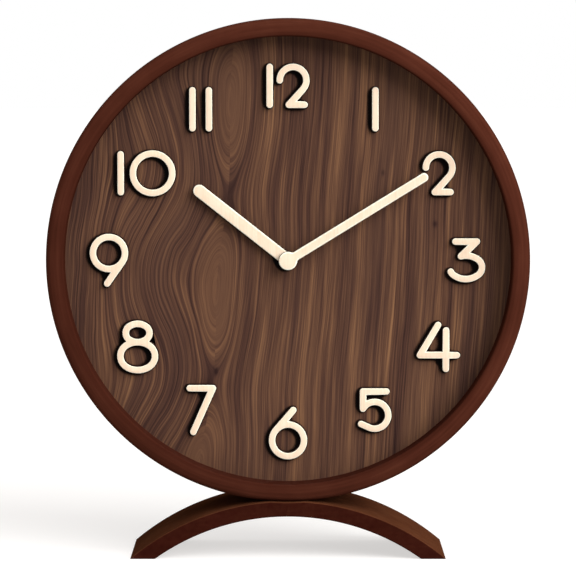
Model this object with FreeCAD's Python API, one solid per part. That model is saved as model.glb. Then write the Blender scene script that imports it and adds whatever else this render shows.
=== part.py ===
import FreeCAD, Part
import math
import os
from FreeCAD import Vector

# A round desk clock on an arched foot, in millimetres.
# The clock is drawn in its face frame: X to the right, Y up, Z towards the viewer,
# with the zero at the hub on the dial's front face. placed() stands each piece up at the end.

# Case
case_radius = 101.6
case_depth = 44.0
lip_width = 7.6
dial_recess = 11.0
crown_drop = 0.9
outer_softening = 2.6
shoulder_drop = 3.4
inner_softening = 1.0
rear_chamfer = 0.8
dial_seat = 2.5
board_seat = 2.1
board_inset = 1.0

# Dial, back board and the blocks between them
dial_thickness = 4.0
dial_play = 0.1
board_thickness = 3.0
board_play = 0.1
window_margin = 4.0
window_corner = 6.0
block_depth = 12.5
block_width = 14.0
block_count = 4
board_screw_radius = 1.4
board_screw_grip = 9.0
pan_head_ratio = 2.1
pan_head_height = 1.8
recess_width = 0.7
recess_depth = 0.9
recess_ratio = 2.4

# Foot
arch_radius = 101.0
arch_thickness = 6.5
arch_depth = 50.0
arch_rise = 24.5
saddle_depth = 0.5
arch_chamfer = 0.6
foot_screw_radius = 1.6
foot_screw_head = 3.4
foot_screw_length = 10.0
foot_screw_first = 8.0
foot_screw_pitch = 14.0

# Numerals
stroke = 3.07
numeral_thickness = 2.5
numeral_margin = 20.7
side_shift = 2.1
ten_shift = 4.0
figure_height = 18.9
slant_height = 21.7
tall_height = 22.7
zero_diameter = 19.6
ten_pitch = 13.4
eleven_pitch = 6.9
twelve_pitch = 9.8

# Hands
hour_hand_width = 5.2
hour_hand_ratio = 0.682
hour_hand_thickness = 1.8
hour_hand_turn = 308.2
minute_hand_width = 3.7
minute_hand_ratio = 0.937
minute_hand_thickness = 2.0
minute_hand_turn = 58.4
hub_radius = 3.85
hub_blend = 1.5
hour_hand_lift = 1.8
hand_gap = 0.8
pipe_grip = 1.4
hand_chamfer = 0.3

# Movement housing
housing_depth = 15.5
housing_corner = 3.0
front_wall = 1.5
side_wall = 1.2
cover_thickness = 1.5
cover_play = 0.1
post_side = 3.0
bush_radius = 3.5
bush_play = 0.1
bush_length = 1.5
lug_reach = 7.0
lug_width = 9.0
lug_thickness = 2.0
lug_screw_radius = 1.25
lug_screw_grip = 3.0
boss_wall = 0.7

# Battery
cell_radius = 7.1
cell_length = 49.5
cell_nub_radius = 2.7
cell_nub_length = 1.0
cell_play = 0.1
contact_thickness = 0.4
contact_width = 9.0
contact_spring = 2.3

# Gears
pressure_angle = 20.0
shift_ratio = 0.5
addendum = 0.85
dedendum = 1.25
gear_play = 0.04
running_play = 0.05
end_play = 0.2
wheel_thickness = 0.8
pinion_overlap = 0.2
level_gap = 0.6

rotor_teeth = 8
intermediate_teeth = 48
intermediate_pinion_teeth = 8
second_teeth = 40
second_pinion_teeth = 8
third_teeth = 60
third_pinion_teeth = 8
centre_teeth = 64
cannon_teeth = 10
motion_teeth = 30
motion_pinion_teeth = 8
hour_teeth = 32
knob_teeth = 12

third_distance = 9.0
third_angle = 190.0
motion_distance = 8.0
motion_angle = 90.0
intermediate_distance = 9.6
intermediate_angle = -8.0
rotor_distance = 7.0
rotor_angle = -8.0
knob_angle = 62.0

hour_tube_radius = 2.5
minute_pipe_radius = 1.6
sleeve_radius = 1.3
second_arbor_radius = 0.5
train_arbor_radius = 0.45
motion_post_radius = 0.7
knob_arbor_radius = 0.9
slip_spring_radius = 2.8
slip_spring_thickness = 0.3

# Setting knob
knob_radius = 6.0
knob_height = 4.5
knob_gap = 0.5
knob_flutes = 12
flute_radius = 0.8

# Motor and circuit
magnet_radius = 3.0
magnet_height = 2.6
magnet_gap = 0.4
lamination = 1.0
stator_width = 8.2
stator_top = 22.0
stator_bottom = 4.8
tab_height = 3.0
core_width = 2.0
coil_offset = 7.2
bobbin_bore = 1.25
bobbin_wall = 0.35
bobbin_flange = 2.8
flange_thickness = 0.6
bobbin_play = 0.2
winding_depth = 1.0
circuit_inset = 0.4
circuit_width = 17.0
circuit_height = 13.0
circuit_thickness = 1.0
circuit_level = 9.0
circuit_post = 1.2
circuit_pin = 0.6
crystal_radius = 1.0
crystal_length = 6.0
chip_radius = 2.4
chip_height = 1.1

# Sizes that follow
lip_radius = case_radius - lip_width
bore_radius = lip_radius + dial_seat
rebate_radius = bore_radius + board_seat
numeral_ring = lip_radius - numeral_margin
hour_hand_length = numeral_ring * hour_hand_ratio
minute_hand_length = numeral_ring * minute_hand_ratio
unit = figure_height / 100
case_back = dial_recess - case_depth
board_back = case_back + board_inset
board_front = board_back + board_thickness
dial_back = -dial_thickness
hub_height = arch_rise - saddle_depth + case_radius
ground = -hub_height
block_ring = bore_radius - block_depth / 2
cell_run = cell_length + cell_nub_length + contact_spring
chamber_half = cell_run / 2 + contact_thickness
half_side = chamber_half + side_wall
window_half = half_side + window_margin
housing_back = dial_back - housing_depth
wall_back = dial_back - front_wall
cover_front = housing_back + cover_thickness
cell_room = 2 * cell_radius + 2 * cell_play
bay_top = -chamber_half + cell_room
chamber_floor = bay_top + side_wall
cell_height = -chamber_half + cell_play + cell_radius
cell_level = wall_back - cell_play - cell_radius

hour_back = hour_hand_lift
hour_front = hour_back + hour_hand_thickness
minute_back = hour_front + hand_gap
minute_front = minute_back + minute_hand_thickness

# Levels of the wheels, each given by its front face
hour_wheel_front = wall_back - end_play
hour_wheel_back = hour_wheel_front - wheel_thickness - pinion_overlap
motion_front = hour_wheel_back - end_play
motion_back = motion_front - wheel_thickness - pinion_overlap
centre_front = motion_back - level_gap
centre_back = centre_front - wheel_thickness
slip_back = centre_back - running_play - slip_spring_thickness
third_front = slip_back - level_gap
third_back = third_front - wheel_thickness
second_front = third_back - level_gap
second_back = second_front - wheel_thickness
intermediate_front = second_back - level_gap
intermediate_back = intermediate_front - wheel_thickness
pivot_level = intermediate_back - level_gap
pivot_depth = cover_front - running_play * 2


def module_for(distance, wheel_teeth, pinion_teeth):
    return 2 * distance / (wheel_teeth + pinion_teeth)


third_module = module_for(third_distance, centre_teeth, third_pinion_teeth)
second_module = module_for(third_distance, third_teeth, second_pinion_teeth)
intermediate_module = module_for(intermediate_distance, second_teeth, intermediate_pinion_teeth)
rotor_module = module_for(rotor_distance, intermediate_teeth, rotor_teeth)
cannon_module = module_for(motion_distance, motion_teeth, cannon_teeth)
hour_module = module_for(motion_distance, hour_teeth, motion_pinion_teeth)
knob_distance = cannon_module * (motion_teeth + knob_teeth) / 2


centre_spot = (0.0, 0.0)


def polar(distance, direction, start=centre_spot):
    angle = math.radians(direction)
    return (start[0] + distance * math.cos(angle), start[1] + distance * math.sin(angle))


third_spot = polar(third_distance, third_angle)
motion_spot = polar(motion_distance, motion_angle)
intermediate_spot = polar(intermediate_distance, intermediate_angle)
rotor_spot = polar(rotor_distance, rotor_angle, intermediate_spot)
knob_spot = polar(knob_distance, knob_angle, motion_spot)


# Plain solids in the face frame

def disc(radius, back, front, spot=centre_spot):
    return Part.makeCylinder(radius, front - back, Vector(spot[0], spot[1], back))


def tube(outer, inner, back, front, spot=centre_spot):
    return disc(outer, back, front, spot).cut(disc(inner, back, front, spot))


def block(left, right, low, high, back, front):
    return Part.makeBox(right - left, high - low, front - back, Vector(left, low, back))


def spun(points_and_arcs):
    outline = Part.Wire(points_and_arcs)
    return Part.Face(outline).revolve(Vector(0, 0, 0), Vector(0, 0, 1), 360)


def fused(pieces):
    first = pieces[0]
    if len(pieces) == 1:
        return first
    return first.multiFuse(pieces[1:]).removeSplitter()


def line(start, end):
    return Part.makeLine(Vector(*start), Vector(*end))


def arc(start, middle, end):
    return Part.Arc(Vector(*start), Vector(*middle), Vector(*end)).toShape()


def turned(shape, angle):
    copy = shape.copy()
    copy.rotate(Vector(0, 0, 0), Vector(0, 0, 1), angle)
    return copy


def moved(shape, x, y, z=0.0):
    copy = shape.copy()
    copy.translate(Vector(x, y, z))
    return copy


def placed(shape):
    copy = shape.copy()
    copy.rotate(Vector(0, 0, 0), Vector(1, 0, 0), 90)
    copy.translate(Vector(0, dial_recess - arch_depth / 2, hub_height))
    return copy


# Strokes of even width with round ends, drawn flat and given their thickness at once

def dot(spot):
    return disc(stroke / 2, 0, numeral_thickness, spot)


def bar(start, end):
    length = math.dist(start, end)
    angle = math.degrees(math.atan2(end[1] - start[1], end[0] - start[0]))
    run = block(0, length, -stroke / 2, stroke / 2, 0, numeral_thickness)
    run = moved(turned(run, angle), start[0], start[1])
    return fused([run, dot(start), dot(end)])


def bow(centre, radius, first, last):
    outer = radius + stroke / 2
    inner = radius - stroke / 2
    middle = (first + last) / 2
    out_start, out_mid, out_end = [polar(outer, a, centre) for a in (first, middle, last)]
    in_start, in_mid, in_end = [polar(inner, a, centre) for a in (first, middle, last)]
    edges = [
        arc((*out_start, 0), (*out_mid, 0), (*out_end, 0)),
        line((*out_end, 0), (*in_end, 0)),
        arc((*in_end, 0), (*in_mid, 0), (*in_start, 0)),
        line((*in_start, 0), (*out_start, 0)),
    ]
    return Part.Face(Part.Wire(edges)).extrude(Vector(0, 0, numeral_thickness))


def loop(centre, radius):
    return tube(radius + stroke / 2, radius - stroke / 2, 0, numeral_thickness, centre)


class Oval:
    # An oval of four tangent arcs, as wide and high as an ellipse of the same half axes

    def __init__(self, centre, half_width, half_height, roundness=1.12):
        self.centre = centre
        self.end_radius = roundness * half_height ** 2 / half_width
        self.end_offset = half_width - self.end_radius
        rise = half_width ** 2 - 2 * half_width * self.end_radius + half_height ** 2
        self.flat_radius = rise / (2 * (half_height - self.end_radius))
        self.flat_offset = self.flat_radius - half_height
        self.joint = math.degrees(math.atan2(self.flat_offset, self.end_offset))

    def right(self, first=None, last=None):
        first = -self.joint if first is None else first
        last = self.joint if last is None else last
        return bow((self.centre[0] + self.end_offset, self.centre[1]), self.end_radius, first, last)

    def left(self, last=None):
        last = 180 + self.joint if last is None else last
        return bow((self.centre[0] - self.end_offset, self.centre[1]), self.end_radius,
                   180 - self.joint, last)

    def lower_left(self, first):
        return bow((self.centre[0] - self.end_offset, self.centre[1]), self.end_radius,
                   first, 180 + self.joint)

    def top(self, last=None):
        last = 180 - self.joint if last is None else last
        return bow((self.centre[0], self.centre[1] - self.flat_offset), self.flat_radius,
                   self.joint, last)

    def bottom(self):
        return bow((self.centre[0], self.centre[1] + self.flat_offset), self.flat_radius,
                   180 + self.joint, 360 - self.joint)

    def whole(self):
        return [self.right(), self.top(), self.left(), self.bottom()]


def tangent_angle(centre, radius, spot, side):
    # The direction, seen from the centre, of the point where a line from spot touches the circle
    reach = math.dist(centre, spot)
    towards = math.degrees(math.atan2(spot[1] - centre[1], spot[0] - centre[0]))
    return towards + side * math.degrees(math.acos(radius / reach))


def below(angle, limit):
    # The same direction, as a number within one turn under the limit
    return limit - (limit - angle) % 360


# The figures, each about the middle of its own height and width.
# A unit is a hundredth of the figure height.

def at(x, y):
    return (x * unit, y * unit)


def figure_one():
    rise = (figure_height - stroke) / 2
    return bar((0, -rise), (0, rise))


def figure_two():
    rise = (figure_height - stroke) / 2
    bowl_radius = 29.5 * unit
    centre = (0, rise - bowl_radius)
    corner = (-9.5 * unit, -rise)
    leave = below(tangent_angle(centre, bowl_radius, corner, 1), 180)
    start = polar(bowl_radius, leave, centre)
    return fused([
        bow(centre, bowl_radius, leave, 180),
        dot(polar(bowl_radius, 180, centre)),
        bar(start, corner),
        bar(corner, (25.4 * unit, -rise)),
    ])


def figure_three():
    rise = (figure_height - stroke) / 2
    bowl_width = 36.0 * unit
    bowl_height = 26.2 * unit
    bowl = Oval((-2.6 * unit, bowl_height - rise), bowl_width, bowl_height)
    begin = 104.0
    finish = 207.0
    flat_centre = (bowl.centre[0], bowl.centre[1] - bowl.flat_offset)
    start = polar(bowl.flat_radius, begin, flat_centre)
    end_centre = (bowl.centre[0] - bowl.end_offset, bowl.centre[1])
    end = polar(bowl.end_radius, finish, end_centre)
    corner = (21.7 * unit, rise)
    return fused([
        bar((-26.2 * unit, rise), corner),
        bar(corner, start),
        bowl.top(begin),
        bowl.right(),
        bowl.bottom(),
        bowl.lower_left(finish),
        dot(end),
    ])


def figure_four():
    rise = (slant_height - stroke) / 2
    reach = 41.3 * unit
    cross = -18.5 * unit
    upright = 16.9 * unit
    return fused([
        bar((-unit, rise), (-reach, cross)),
        bar((-reach, cross), (reach, cross)),
        bar((upright, 37 * unit), (upright, -rise)),
    ])


def figure_five():
    rise = (figure_height - stroke) / 2
    bowl_radius = 30.2 * unit
    back = -26.3 * unit
    centre = (0, bowl_radius - rise)
    cap = at(-30.2, -31.2)
    begin = math.degrees(math.acos(back / bowl_radius))
    leave = below(tangent_angle(centre, bowl_radius, cap, 1), begin)
    return fused([
        bar((back, rise), (25.9 * unit, rise)),
        bar((back, rise), polar(bowl_radius, begin, centre)),
        bow(centre, bowl_radius, leave, begin),
        bar(polar(bowl_radius, leave, centre), cap),
    ])


def figure_six(tail=11.6):
    rise = (tall_height - stroke) / 2
    loop_radius = 35.7 * unit
    centre = (0, loop_radius - rise)
    cap = (tail * unit, rise)
    touch = polar(loop_radius, tangent_angle(centre, loop_radius, cap, 1), centre)
    return fused([loop(centre, loop_radius), bar(touch, cap)])


def figure_seven():
    rise = (slant_height - stroke) / 2
    reach = 25.9 * unit
    return fused([bar((-reach, rise), (reach, rise)), bar((reach, rise), (-18 * unit, -rise))])


def figure_eight():
    rise = (tall_height - stroke) / 2
    upper_height = 20.6 * unit
    lower_height = rise - upper_height
    upper = Oval((0, rise - upper_height), 26.5 * unit, upper_height)
    lower = Oval((0, lower_height - rise), 38.6 * unit, lower_height)
    return fused(upper.whole() + lower.whole())


def figure_nine():
    return turned(figure_six(4.2), 180)


def figure_zero():
    return loop((0, 0), (zero_diameter - stroke) / 2)


def half_width(figure):
    return figure.BoundBox.XLength / 2


def pair(left, right, pitch):
    first = (half_width(left) - half_width(right) - pitch) / 2
    return Part.makeCompound([moved(left, first, 0), moved(right, first + pitch, 0)])


def numeral(hour):
    one = figure_one()
    shapes = {
        1: figure_one, 2: figure_two, 3: figure_three, 4: figure_four, 5: figure_five,
        6: figure_six, 7: figure_seven, 8: figure_eight, 9: figure_nine,
        10: lambda: pair(one, figure_zero(), ten_pitch),
        11: lambda: pair(one, one, eleven_pitch),
        12: lambda: pair(one, figure_two(), twelve_pitch),
    }
    ring = numeral_ring + (side_shift if hour in (3, 9) else 0)
    x, y = polar(ring, 90 - 30 * hour)
    if hour == 10:
        x += ten_shift
    return moved(shapes[hour](), x, y)


# Case pieces

def falling_arc(start, run, drop):
    # An arc that starts level and falls away outwards
    radius = (run ** 2 + drop ** 2) / (2 * drop)
    half_turn = math.atan2(drop, run)
    middle = (start[0] + radius * math.sin(half_turn), 0,
              start[2] - radius * (1 - math.cos(half_turn)))
    end = (start[0] + run, 0, start[2] - drop)
    return arc(start, middle, end), end


def closing_arc(start, run, drop):
    # An arc that runs outwards and ends upright
    radius = (run ** 2 + drop ** 2) / (2 * run)
    half_turn = math.atan2(run, drop)
    end = (start[0] + run, 0, start[2] - drop)
    middle = (end[0] - radius * (1 - math.cos(half_turn)), 0,
              end[2] + radius * math.sin(half_turn))
    return arc(start, middle, end), end


def case_ring():
    crest = dial_recess
    corner_middle = inner_softening * (1 - math.sqrt(0.5))
    inner_start = (lip_radius, 0, crest - inner_softening)
    inner_mid = (lip_radius + corner_middle, 0, crest - corner_middle)
    inner_end = (lip_radius + inner_softening, 0, crest)
    crown_run = lip_width - inner_softening - outer_softening
    crown, crown_end = falling_arc(inner_end, crown_run, crown_drop)
    shoulder, outer_end = closing_arc(crown_end, outer_softening, shoulder_drop)
    corners = [
        outer_end,
        (case_radius, 0, case_back + rear_chamfer),
        (case_radius - rear_chamfer, 0, case_back),
        (rebate_radius, 0, case_back),
        (rebate_radius, 0, board_front),
        (bore_radius, 0, board_front),
        (bore_radius, 0, 0),
        (lip_radius, 0, 0),
        inner_start,
    ]
    edges = [arc(inner_start, inner_mid, inner_end), crown, shoulder]
    edges += [line(a, b) for a, b in zip(corners, corners[1:])]
    ring = spun(edges)
    for depth in foot_screw_depths():
        ring = ring.cut(foot_screw(depth))
    return ring


def dial_panel():
    panel = disc(bore_radius - dial_play, dial_back, 0)
    panel = panel.cut(disc(bush_radius + bush_play, dial_back, 0))
    for spot in lug_spots():
        panel = panel.cut(disc(lug_screw_radius, dial_back, dial_back + lug_screw_grip, spot))
    return panel


def block_directions():
    return [45 + 360 * step / block_count for step in range(block_count)]


def spacer_blocks():
    inside = disc(bore_radius, board_front, dial_back)
    body = block(bore_radius - block_depth, bore_radius + 1, -block_width / 2, block_width / 2,
                 board_front, dial_back).common(inside)
    screw_hole = disc(board_screw_radius, board_front, board_front + board_screw_grip,
                      (block_ring, 0))
    body = body.cut(screw_hole)
    return Part.makeCompound([turned(body, angle) for angle in block_directions()])


def back_board():
    board = disc(rebate_radius - board_play, board_back, board_front)
    window = block(-window_half, window_half, -window_half, window_half, board_back, board_front)
    upright = [edge for edge in window.Edges if abs(edge.tangentAt(0).z) > 0.5]
    board = board.cut(window.makeFillet(window_corner, upright))
    for angle in block_directions():
        hole = disc(board_screw_radius, board_back, board_front, (block_ring, 0))
        board = board.cut(turned(hole, angle))
    return board


def cross_recess(radius, back):
    half = radius * recess_ratio / 2
    slot = block(-half, half, -recess_width / 2, recess_width / 2, back, back + recess_depth)
    return fused([slot, turned(slot, 90)])


def pan_screw(radius, seat, grip):
    # The head lies behind the seat, and the shank runs forward from it
    back = seat - pan_head_height
    head = disc(radius * pan_head_ratio, back, seat)
    rim = [edge for edge in head.Edges if edge.BoundBox.ZMax < seat - pan_head_height / 2]
    head = head.makeChamfer(pan_head_height * 0.4, rim)
    return fused([head, disc(radius, seat, seat + grip)]).cut(cross_recess(radius, back))


def board_screws():
    screw = pan_screw(board_screw_radius, board_back, board_thickness + board_screw_grip)
    screw = moved(screw, block_ring, 0)
    return Part.makeCompound([turned(screw, angle) for angle in block_directions()])


# Foot

def foot_screw_depths():
    return [-foot_screw_first - foot_screw_pitch * step for step in range(2)]


def foot_screw(depth):
    under = ground + arch_rise - arch_thickness
    cone_height = foot_screw_head - foot_screw_radius
    up = Vector(0, 1, 0)
    cone = Part.makeCone(foot_screw_head, foot_screw_radius, cone_height,
                         Vector(0, under, depth), up)
    shank = Part.makeCylinder(foot_screw_radius, foot_screw_length - cone_height,
                              Vector(0, under + cone_height, depth), up)
    return fused([cone, shank])


def recessed_foot_screw(depth):
    under = ground + arch_rise - arch_thickness
    half = foot_screw_radius * recess_ratio / 2
    thin = recess_width / 2
    along = block(-half, half, under, under + recess_depth, depth - thin, depth + thin)
    across_slot = block(-thin, thin, under, under + recess_depth, depth - half, depth + half)
    return foot_screw(depth).cut(fused([along, across_slot]))


def foot_screws():
    return Part.makeCompound([recessed_foot_screw(depth) for depth in foot_screw_depths()])


def arch_foot():
    arch_centre = (0.0, ground + arch_rise - arch_radius)
    front = dial_recess
    back = front - arch_depth
    arch = tube(arch_radius, arch_radius - arch_thickness, back, front, arch_centre)
    rims = [edge for edge in arch.Edges if is_rim(edge, arch_radius)]
    arch = arch.makeChamfer(arch_chamfer, rims)
    buried = block(-2 * arch_radius, 2 * arch_radius, ground - 2 * arch_radius, ground, back, front)
    arch = arch.cut(buried)
    arch = arch.cut(disc(case_radius, back, front))
    for depth in foot_screw_depths():
        arch = arch.cut(foot_screw(depth))
    return arch


def is_rim(edge, radius):
    return hasattr(edge.Curve, "Radius") and abs(edge.Curve.Radius - radius) < 0.01


# Hands

def hand(width, length, thickness, level):
    reach = length - width / 2
    blade = block(0, reach, -width / 2, width / 2, level, level + thickness)
    tip = disc(width / 2, level, level + thickness, (reach, 0))
    hub = disc(hub_radius, level, level + thickness)
    return fused([blade, tip, hub])


def softened(shape, level, size):
    rim = [edge for edge in shape.Edges
           if edge.BoundBox.ZMin > level - 0.001 and edge.BoundBox.ZMax < level + 0.001]
    return shape.makeChamfer(size, rim)


def hub_corners(shape, width):
    corner = math.sqrt(hub_radius ** 2 - (width / 2) ** 2)
    return [edge for edge in shape.Edges
            if edge.BoundBox.ZLength > 0.5 and edge.BoundBox.XLength < 0.001
            and abs(edge.CenterOfMass.x - corner) < 0.01]


def hour_hand():
    shape = hand(hour_hand_width, hour_hand_length, hour_hand_thickness, hour_back)
    shape = shape.makeFillet(hub_blend, hub_corners(shape, hour_hand_width))
    shape = softened(shape, hour_front, hand_chamfer)
    shape = shape.cut(disc(hour_tube_radius, hour_back, hour_front))
    return turned(shape, 90 - hour_hand_turn)


def minute_hand():
    shape = hand(minute_hand_width, minute_hand_length, minute_hand_thickness, minute_back)
    shape = shape.makeFillet(hub_blend, hub_corners(shape, minute_hand_width))
    shape = softened(shape, minute_front, hand_chamfer)
    shape = shape.cut(disc(minute_pipe_radius, minute_back, minute_back + pipe_grip))
    return turned(shape, 90 - minute_hand_turn)


# Gears

def involute(angle):
    return math.tan(angle) - angle


def tooth_half_angle(teeth, module, shift, radius):
    pressure = math.radians(pressure_angle)
    base = module * teeth * math.cos(pressure) / 2
    thick = module * (math.pi / 2 + 2 * shift * math.tan(pressure)) - gear_play
    local = math.acos(min(1.0, base / radius))
    return thick / (module * teeth) + involute(pressure) - involute(local)


def gear(teeth, module, shift, back, front, phase, spot=centre_spot):
    # A spur gear with one tooth centred on the direction called phase
    root = module * (teeth / 2 - dedendum + shift)
    pitch = module * teeth / 2
    tip = module * (teeth / 2 + addendum + shift)
    radii = [root, tip] if shift < 0 else [root, pitch, tip]
    sides = [(radius, math.degrees(tooth_half_angle(teeth, module, shift, radius)))
             for radius in radii]
    points = []
    for tooth in range(teeth):
        middle = phase + 360.0 * tooth / teeth
        for radius, half in sides:
            points.append(Vector(*polar(radius, middle - half, spot), back))
        for radius, half in reversed(sides):
            points.append(Vector(*polar(radius, middle + half, spot), back))
    outline = Part.makePolygon(points + points[:1])
    return Part.Face(outline).extrude(Vector(0, 0, front - back))


def pinion(teeth, module, back, front, phase, spot=centre_spot):
    return gear(teeth, module, shift_ratio, back, front, phase, spot)


def wheel(teeth, module, back, front, phase, spot=centre_spot):
    return gear(teeth, module, -shift_ratio, back, front, phase, spot)


def meshing_phase(phase, teeth, direction, mate_teeth):
    # The phase of a mating gear that lies in the given direction from the first one
    behind = (direction - phase) * teeth / mate_teeth
    return direction + 180 + behind + 180.0 / mate_teeth


centre_phase = third_angle
third_pinion_phase = meshing_phase(centre_phase, centre_teeth, third_angle, third_pinion_teeth)
second_pinion_phase = third_angle
third_phase = meshing_phase(second_pinion_phase, second_pinion_teeth, third_angle, third_teeth)
second_phase = intermediate_angle
intermediate_pinion_phase = meshing_phase(second_phase, second_teeth, intermediate_angle,
                                          intermediate_pinion_teeth)
intermediate_phase = rotor_angle
rotor_phase = meshing_phase(intermediate_phase, intermediate_teeth, rotor_angle, rotor_teeth)
cannon_phase = motion_angle
motion_phase = meshing_phase(cannon_phase, cannon_teeth, motion_angle, motion_teeth)
hour_phase = motion_angle
motion_pinion_phase = meshing_phase(hour_phase, hour_teeth, motion_angle, motion_pinion_teeth)
knob_phase = meshing_phase(motion_phase, motion_teeth, knob_angle, knob_teeth)


def hour_wheel():
    gear_part = wheel(hour_teeth, hour_module, hour_wheel_back, hour_wheel_front, hour_phase)
    shape = fused([gear_part, disc(hour_tube_radius, hour_wheel_front, hour_front)])
    bore = disc(minute_pipe_radius + running_play, hour_wheel_back, hour_front)
    return shape.cut(bore)


def cannon_pinion():
    pipe = disc(minute_pipe_radius, motion_front, minute_back + pipe_grip)
    leaves = pinion(cannon_teeth, cannon_module, motion_back, motion_front, cannon_phase)
    sleeve = disc(sleeve_radius, slip_back, motion_back)
    shape = fused([pipe, leaves, sleeve])
    return shape.cut(disc(second_arbor_radius + running_play, slip_back, wall_back))


def motion_wheel():
    disc_part = wheel(motion_teeth, cannon_module, motion_back, motion_front, motion_phase,
                      motion_spot)
    leaves = pinion(motion_pinion_teeth, hour_module, motion_front, hour_wheel_front,
                    motion_pinion_phase, motion_spot)
    bore = disc(motion_post_radius + running_play, motion_back, hour_wheel_front, motion_spot)
    return fused([disc_part, leaves]).cut(bore)


def centre_wheel():
    shape = wheel(centre_teeth, third_module, centre_back, centre_front, centre_phase)
    collar = disc(sleeve_radius * 1.6, centre_front, motion_back - end_play)
    bore = disc(sleeve_radius + running_play, centre_back, motion_back)
    return fused([shape, collar]).cut(bore)


def slip_spring():
    spring = disc(slip_spring_radius, slip_back, slip_back + slip_spring_thickness)
    for step in range(3):
        notch = disc(slip_spring_radius * 0.35, slip_back, centre_back,
                     polar(slip_spring_radius, 120 * step + 60))
        spring = spring.cut(notch)
    return spring.cut(disc(sleeve_radius, slip_back, centre_back))


def third_wheel():
    leaves = pinion(third_pinion_teeth, third_module, third_front, centre_front + pinion_overlap,
                    third_pinion_phase, third_spot)
    disc_part = wheel(third_teeth, second_module, third_back, third_front, third_phase, third_spot)
    arbor = disc(train_arbor_radius, pivot_depth, dial_back - front_wall / 2, third_spot)
    return fused([leaves, disc_part, arbor])


def second_wheel():
    leaves = pinion(second_pinion_teeth, second_module, second_front,
                    third_front + pinion_overlap, second_pinion_phase)
    disc_part = wheel(second_teeth, intermediate_module, second_back, second_front, second_phase)
    arbor = disc(second_arbor_radius, pivot_depth, wall_back)
    return fused([leaves, disc_part, arbor])


def intermediate_wheel():
    leaves = pinion(intermediate_pinion_teeth, intermediate_module, intermediate_front,
                    second_front + pinion_overlap, intermediate_pinion_phase, intermediate_spot)
    disc_part = wheel(intermediate_teeth, rotor_module, intermediate_back, intermediate_front,
                      intermediate_phase, intermediate_spot)
    arbor = disc(train_arbor_radius, pivot_depth, dial_back - front_wall / 2, intermediate_spot)
    return fused([leaves, disc_part, arbor])


magnet_front = third_front + magnet_height / 2
magnet_back = magnet_front - magnet_height


def rotor():
    leaves = pinion(rotor_teeth, rotor_module, intermediate_back - pinion_overlap,
                    intermediate_front + pinion_overlap, rotor_phase, rotor_spot)
    arbor = disc(train_arbor_radius, pivot_depth, dial_back - front_wall / 2, rotor_spot)
    return fused([leaves, arbor])


def rotor_magnet():
    return tube(magnet_radius, train_arbor_radius, magnet_back, magnet_front, rotor_spot)


# Setting knob

knob_front = housing_back - knob_gap
knob_back = knob_front - knob_height


def setting_arbor():
    leaves = pinion(knob_teeth, cannon_module, motion_back, motion_front, knob_phase, knob_spot)
    arbor = disc(knob_arbor_radius, knob_front - knob_height / 2, dial_back - front_wall / 2,
                 knob_spot)
    return fused([leaves, arbor])


def setting_knob():
    knob = disc(knob_radius, knob_back, knob_front)
    rim = [edge for edge in knob.Edges if edge.BoundBox.ZMax < knob_back + knob_height / 2]
    knob = knob.makeChamfer(knob_height * 0.12, rim)
    for step in range(knob_flutes):
        flute = disc(flute_radius, knob_back, knob_front,
                     polar(knob_radius + flute_radius * 0.4, 360 * step / knob_flutes))
        knob = knob.cut(flute)
    knob = knob.cut(disc(knob_arbor_radius, knob_front - knob_height / 2, knob_front))
    return moved(knob, knob_spot[0], knob_spot[1])


# Movement housing

def lug_spots():
    reach = half_side + lug_reach / 2
    return [(-reach, 0.0), (reach, 0.0)]


def upright_edges(shape):
    return [edge for edge in shape.Edges
            if edge.BoundBox.XLength < 0.001 and edge.BoundBox.YLength < 0.001]


def boss(radius, back, front, spot):
    return disc(radius + running_play + boss_wall, back, front, spot)


circuit_left = post_side + circuit_inset - chamber_half
circuit_top = chamber_half - post_side - circuit_inset


def circuit_posts():
    inset = circuit_post * 2
    right = circuit_left + circuit_width
    return [
        (circuit_left + inset, circuit_top - inset),
        (right - inset, circuit_top - circuit_height + inset),
    ]


def stator_posts():
    across_spot = core_spot - core_width * 1.1
    return [(across_spot, stator_low + tab_height / 2), (across_spot, stator_top - tab_height / 2)]


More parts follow.
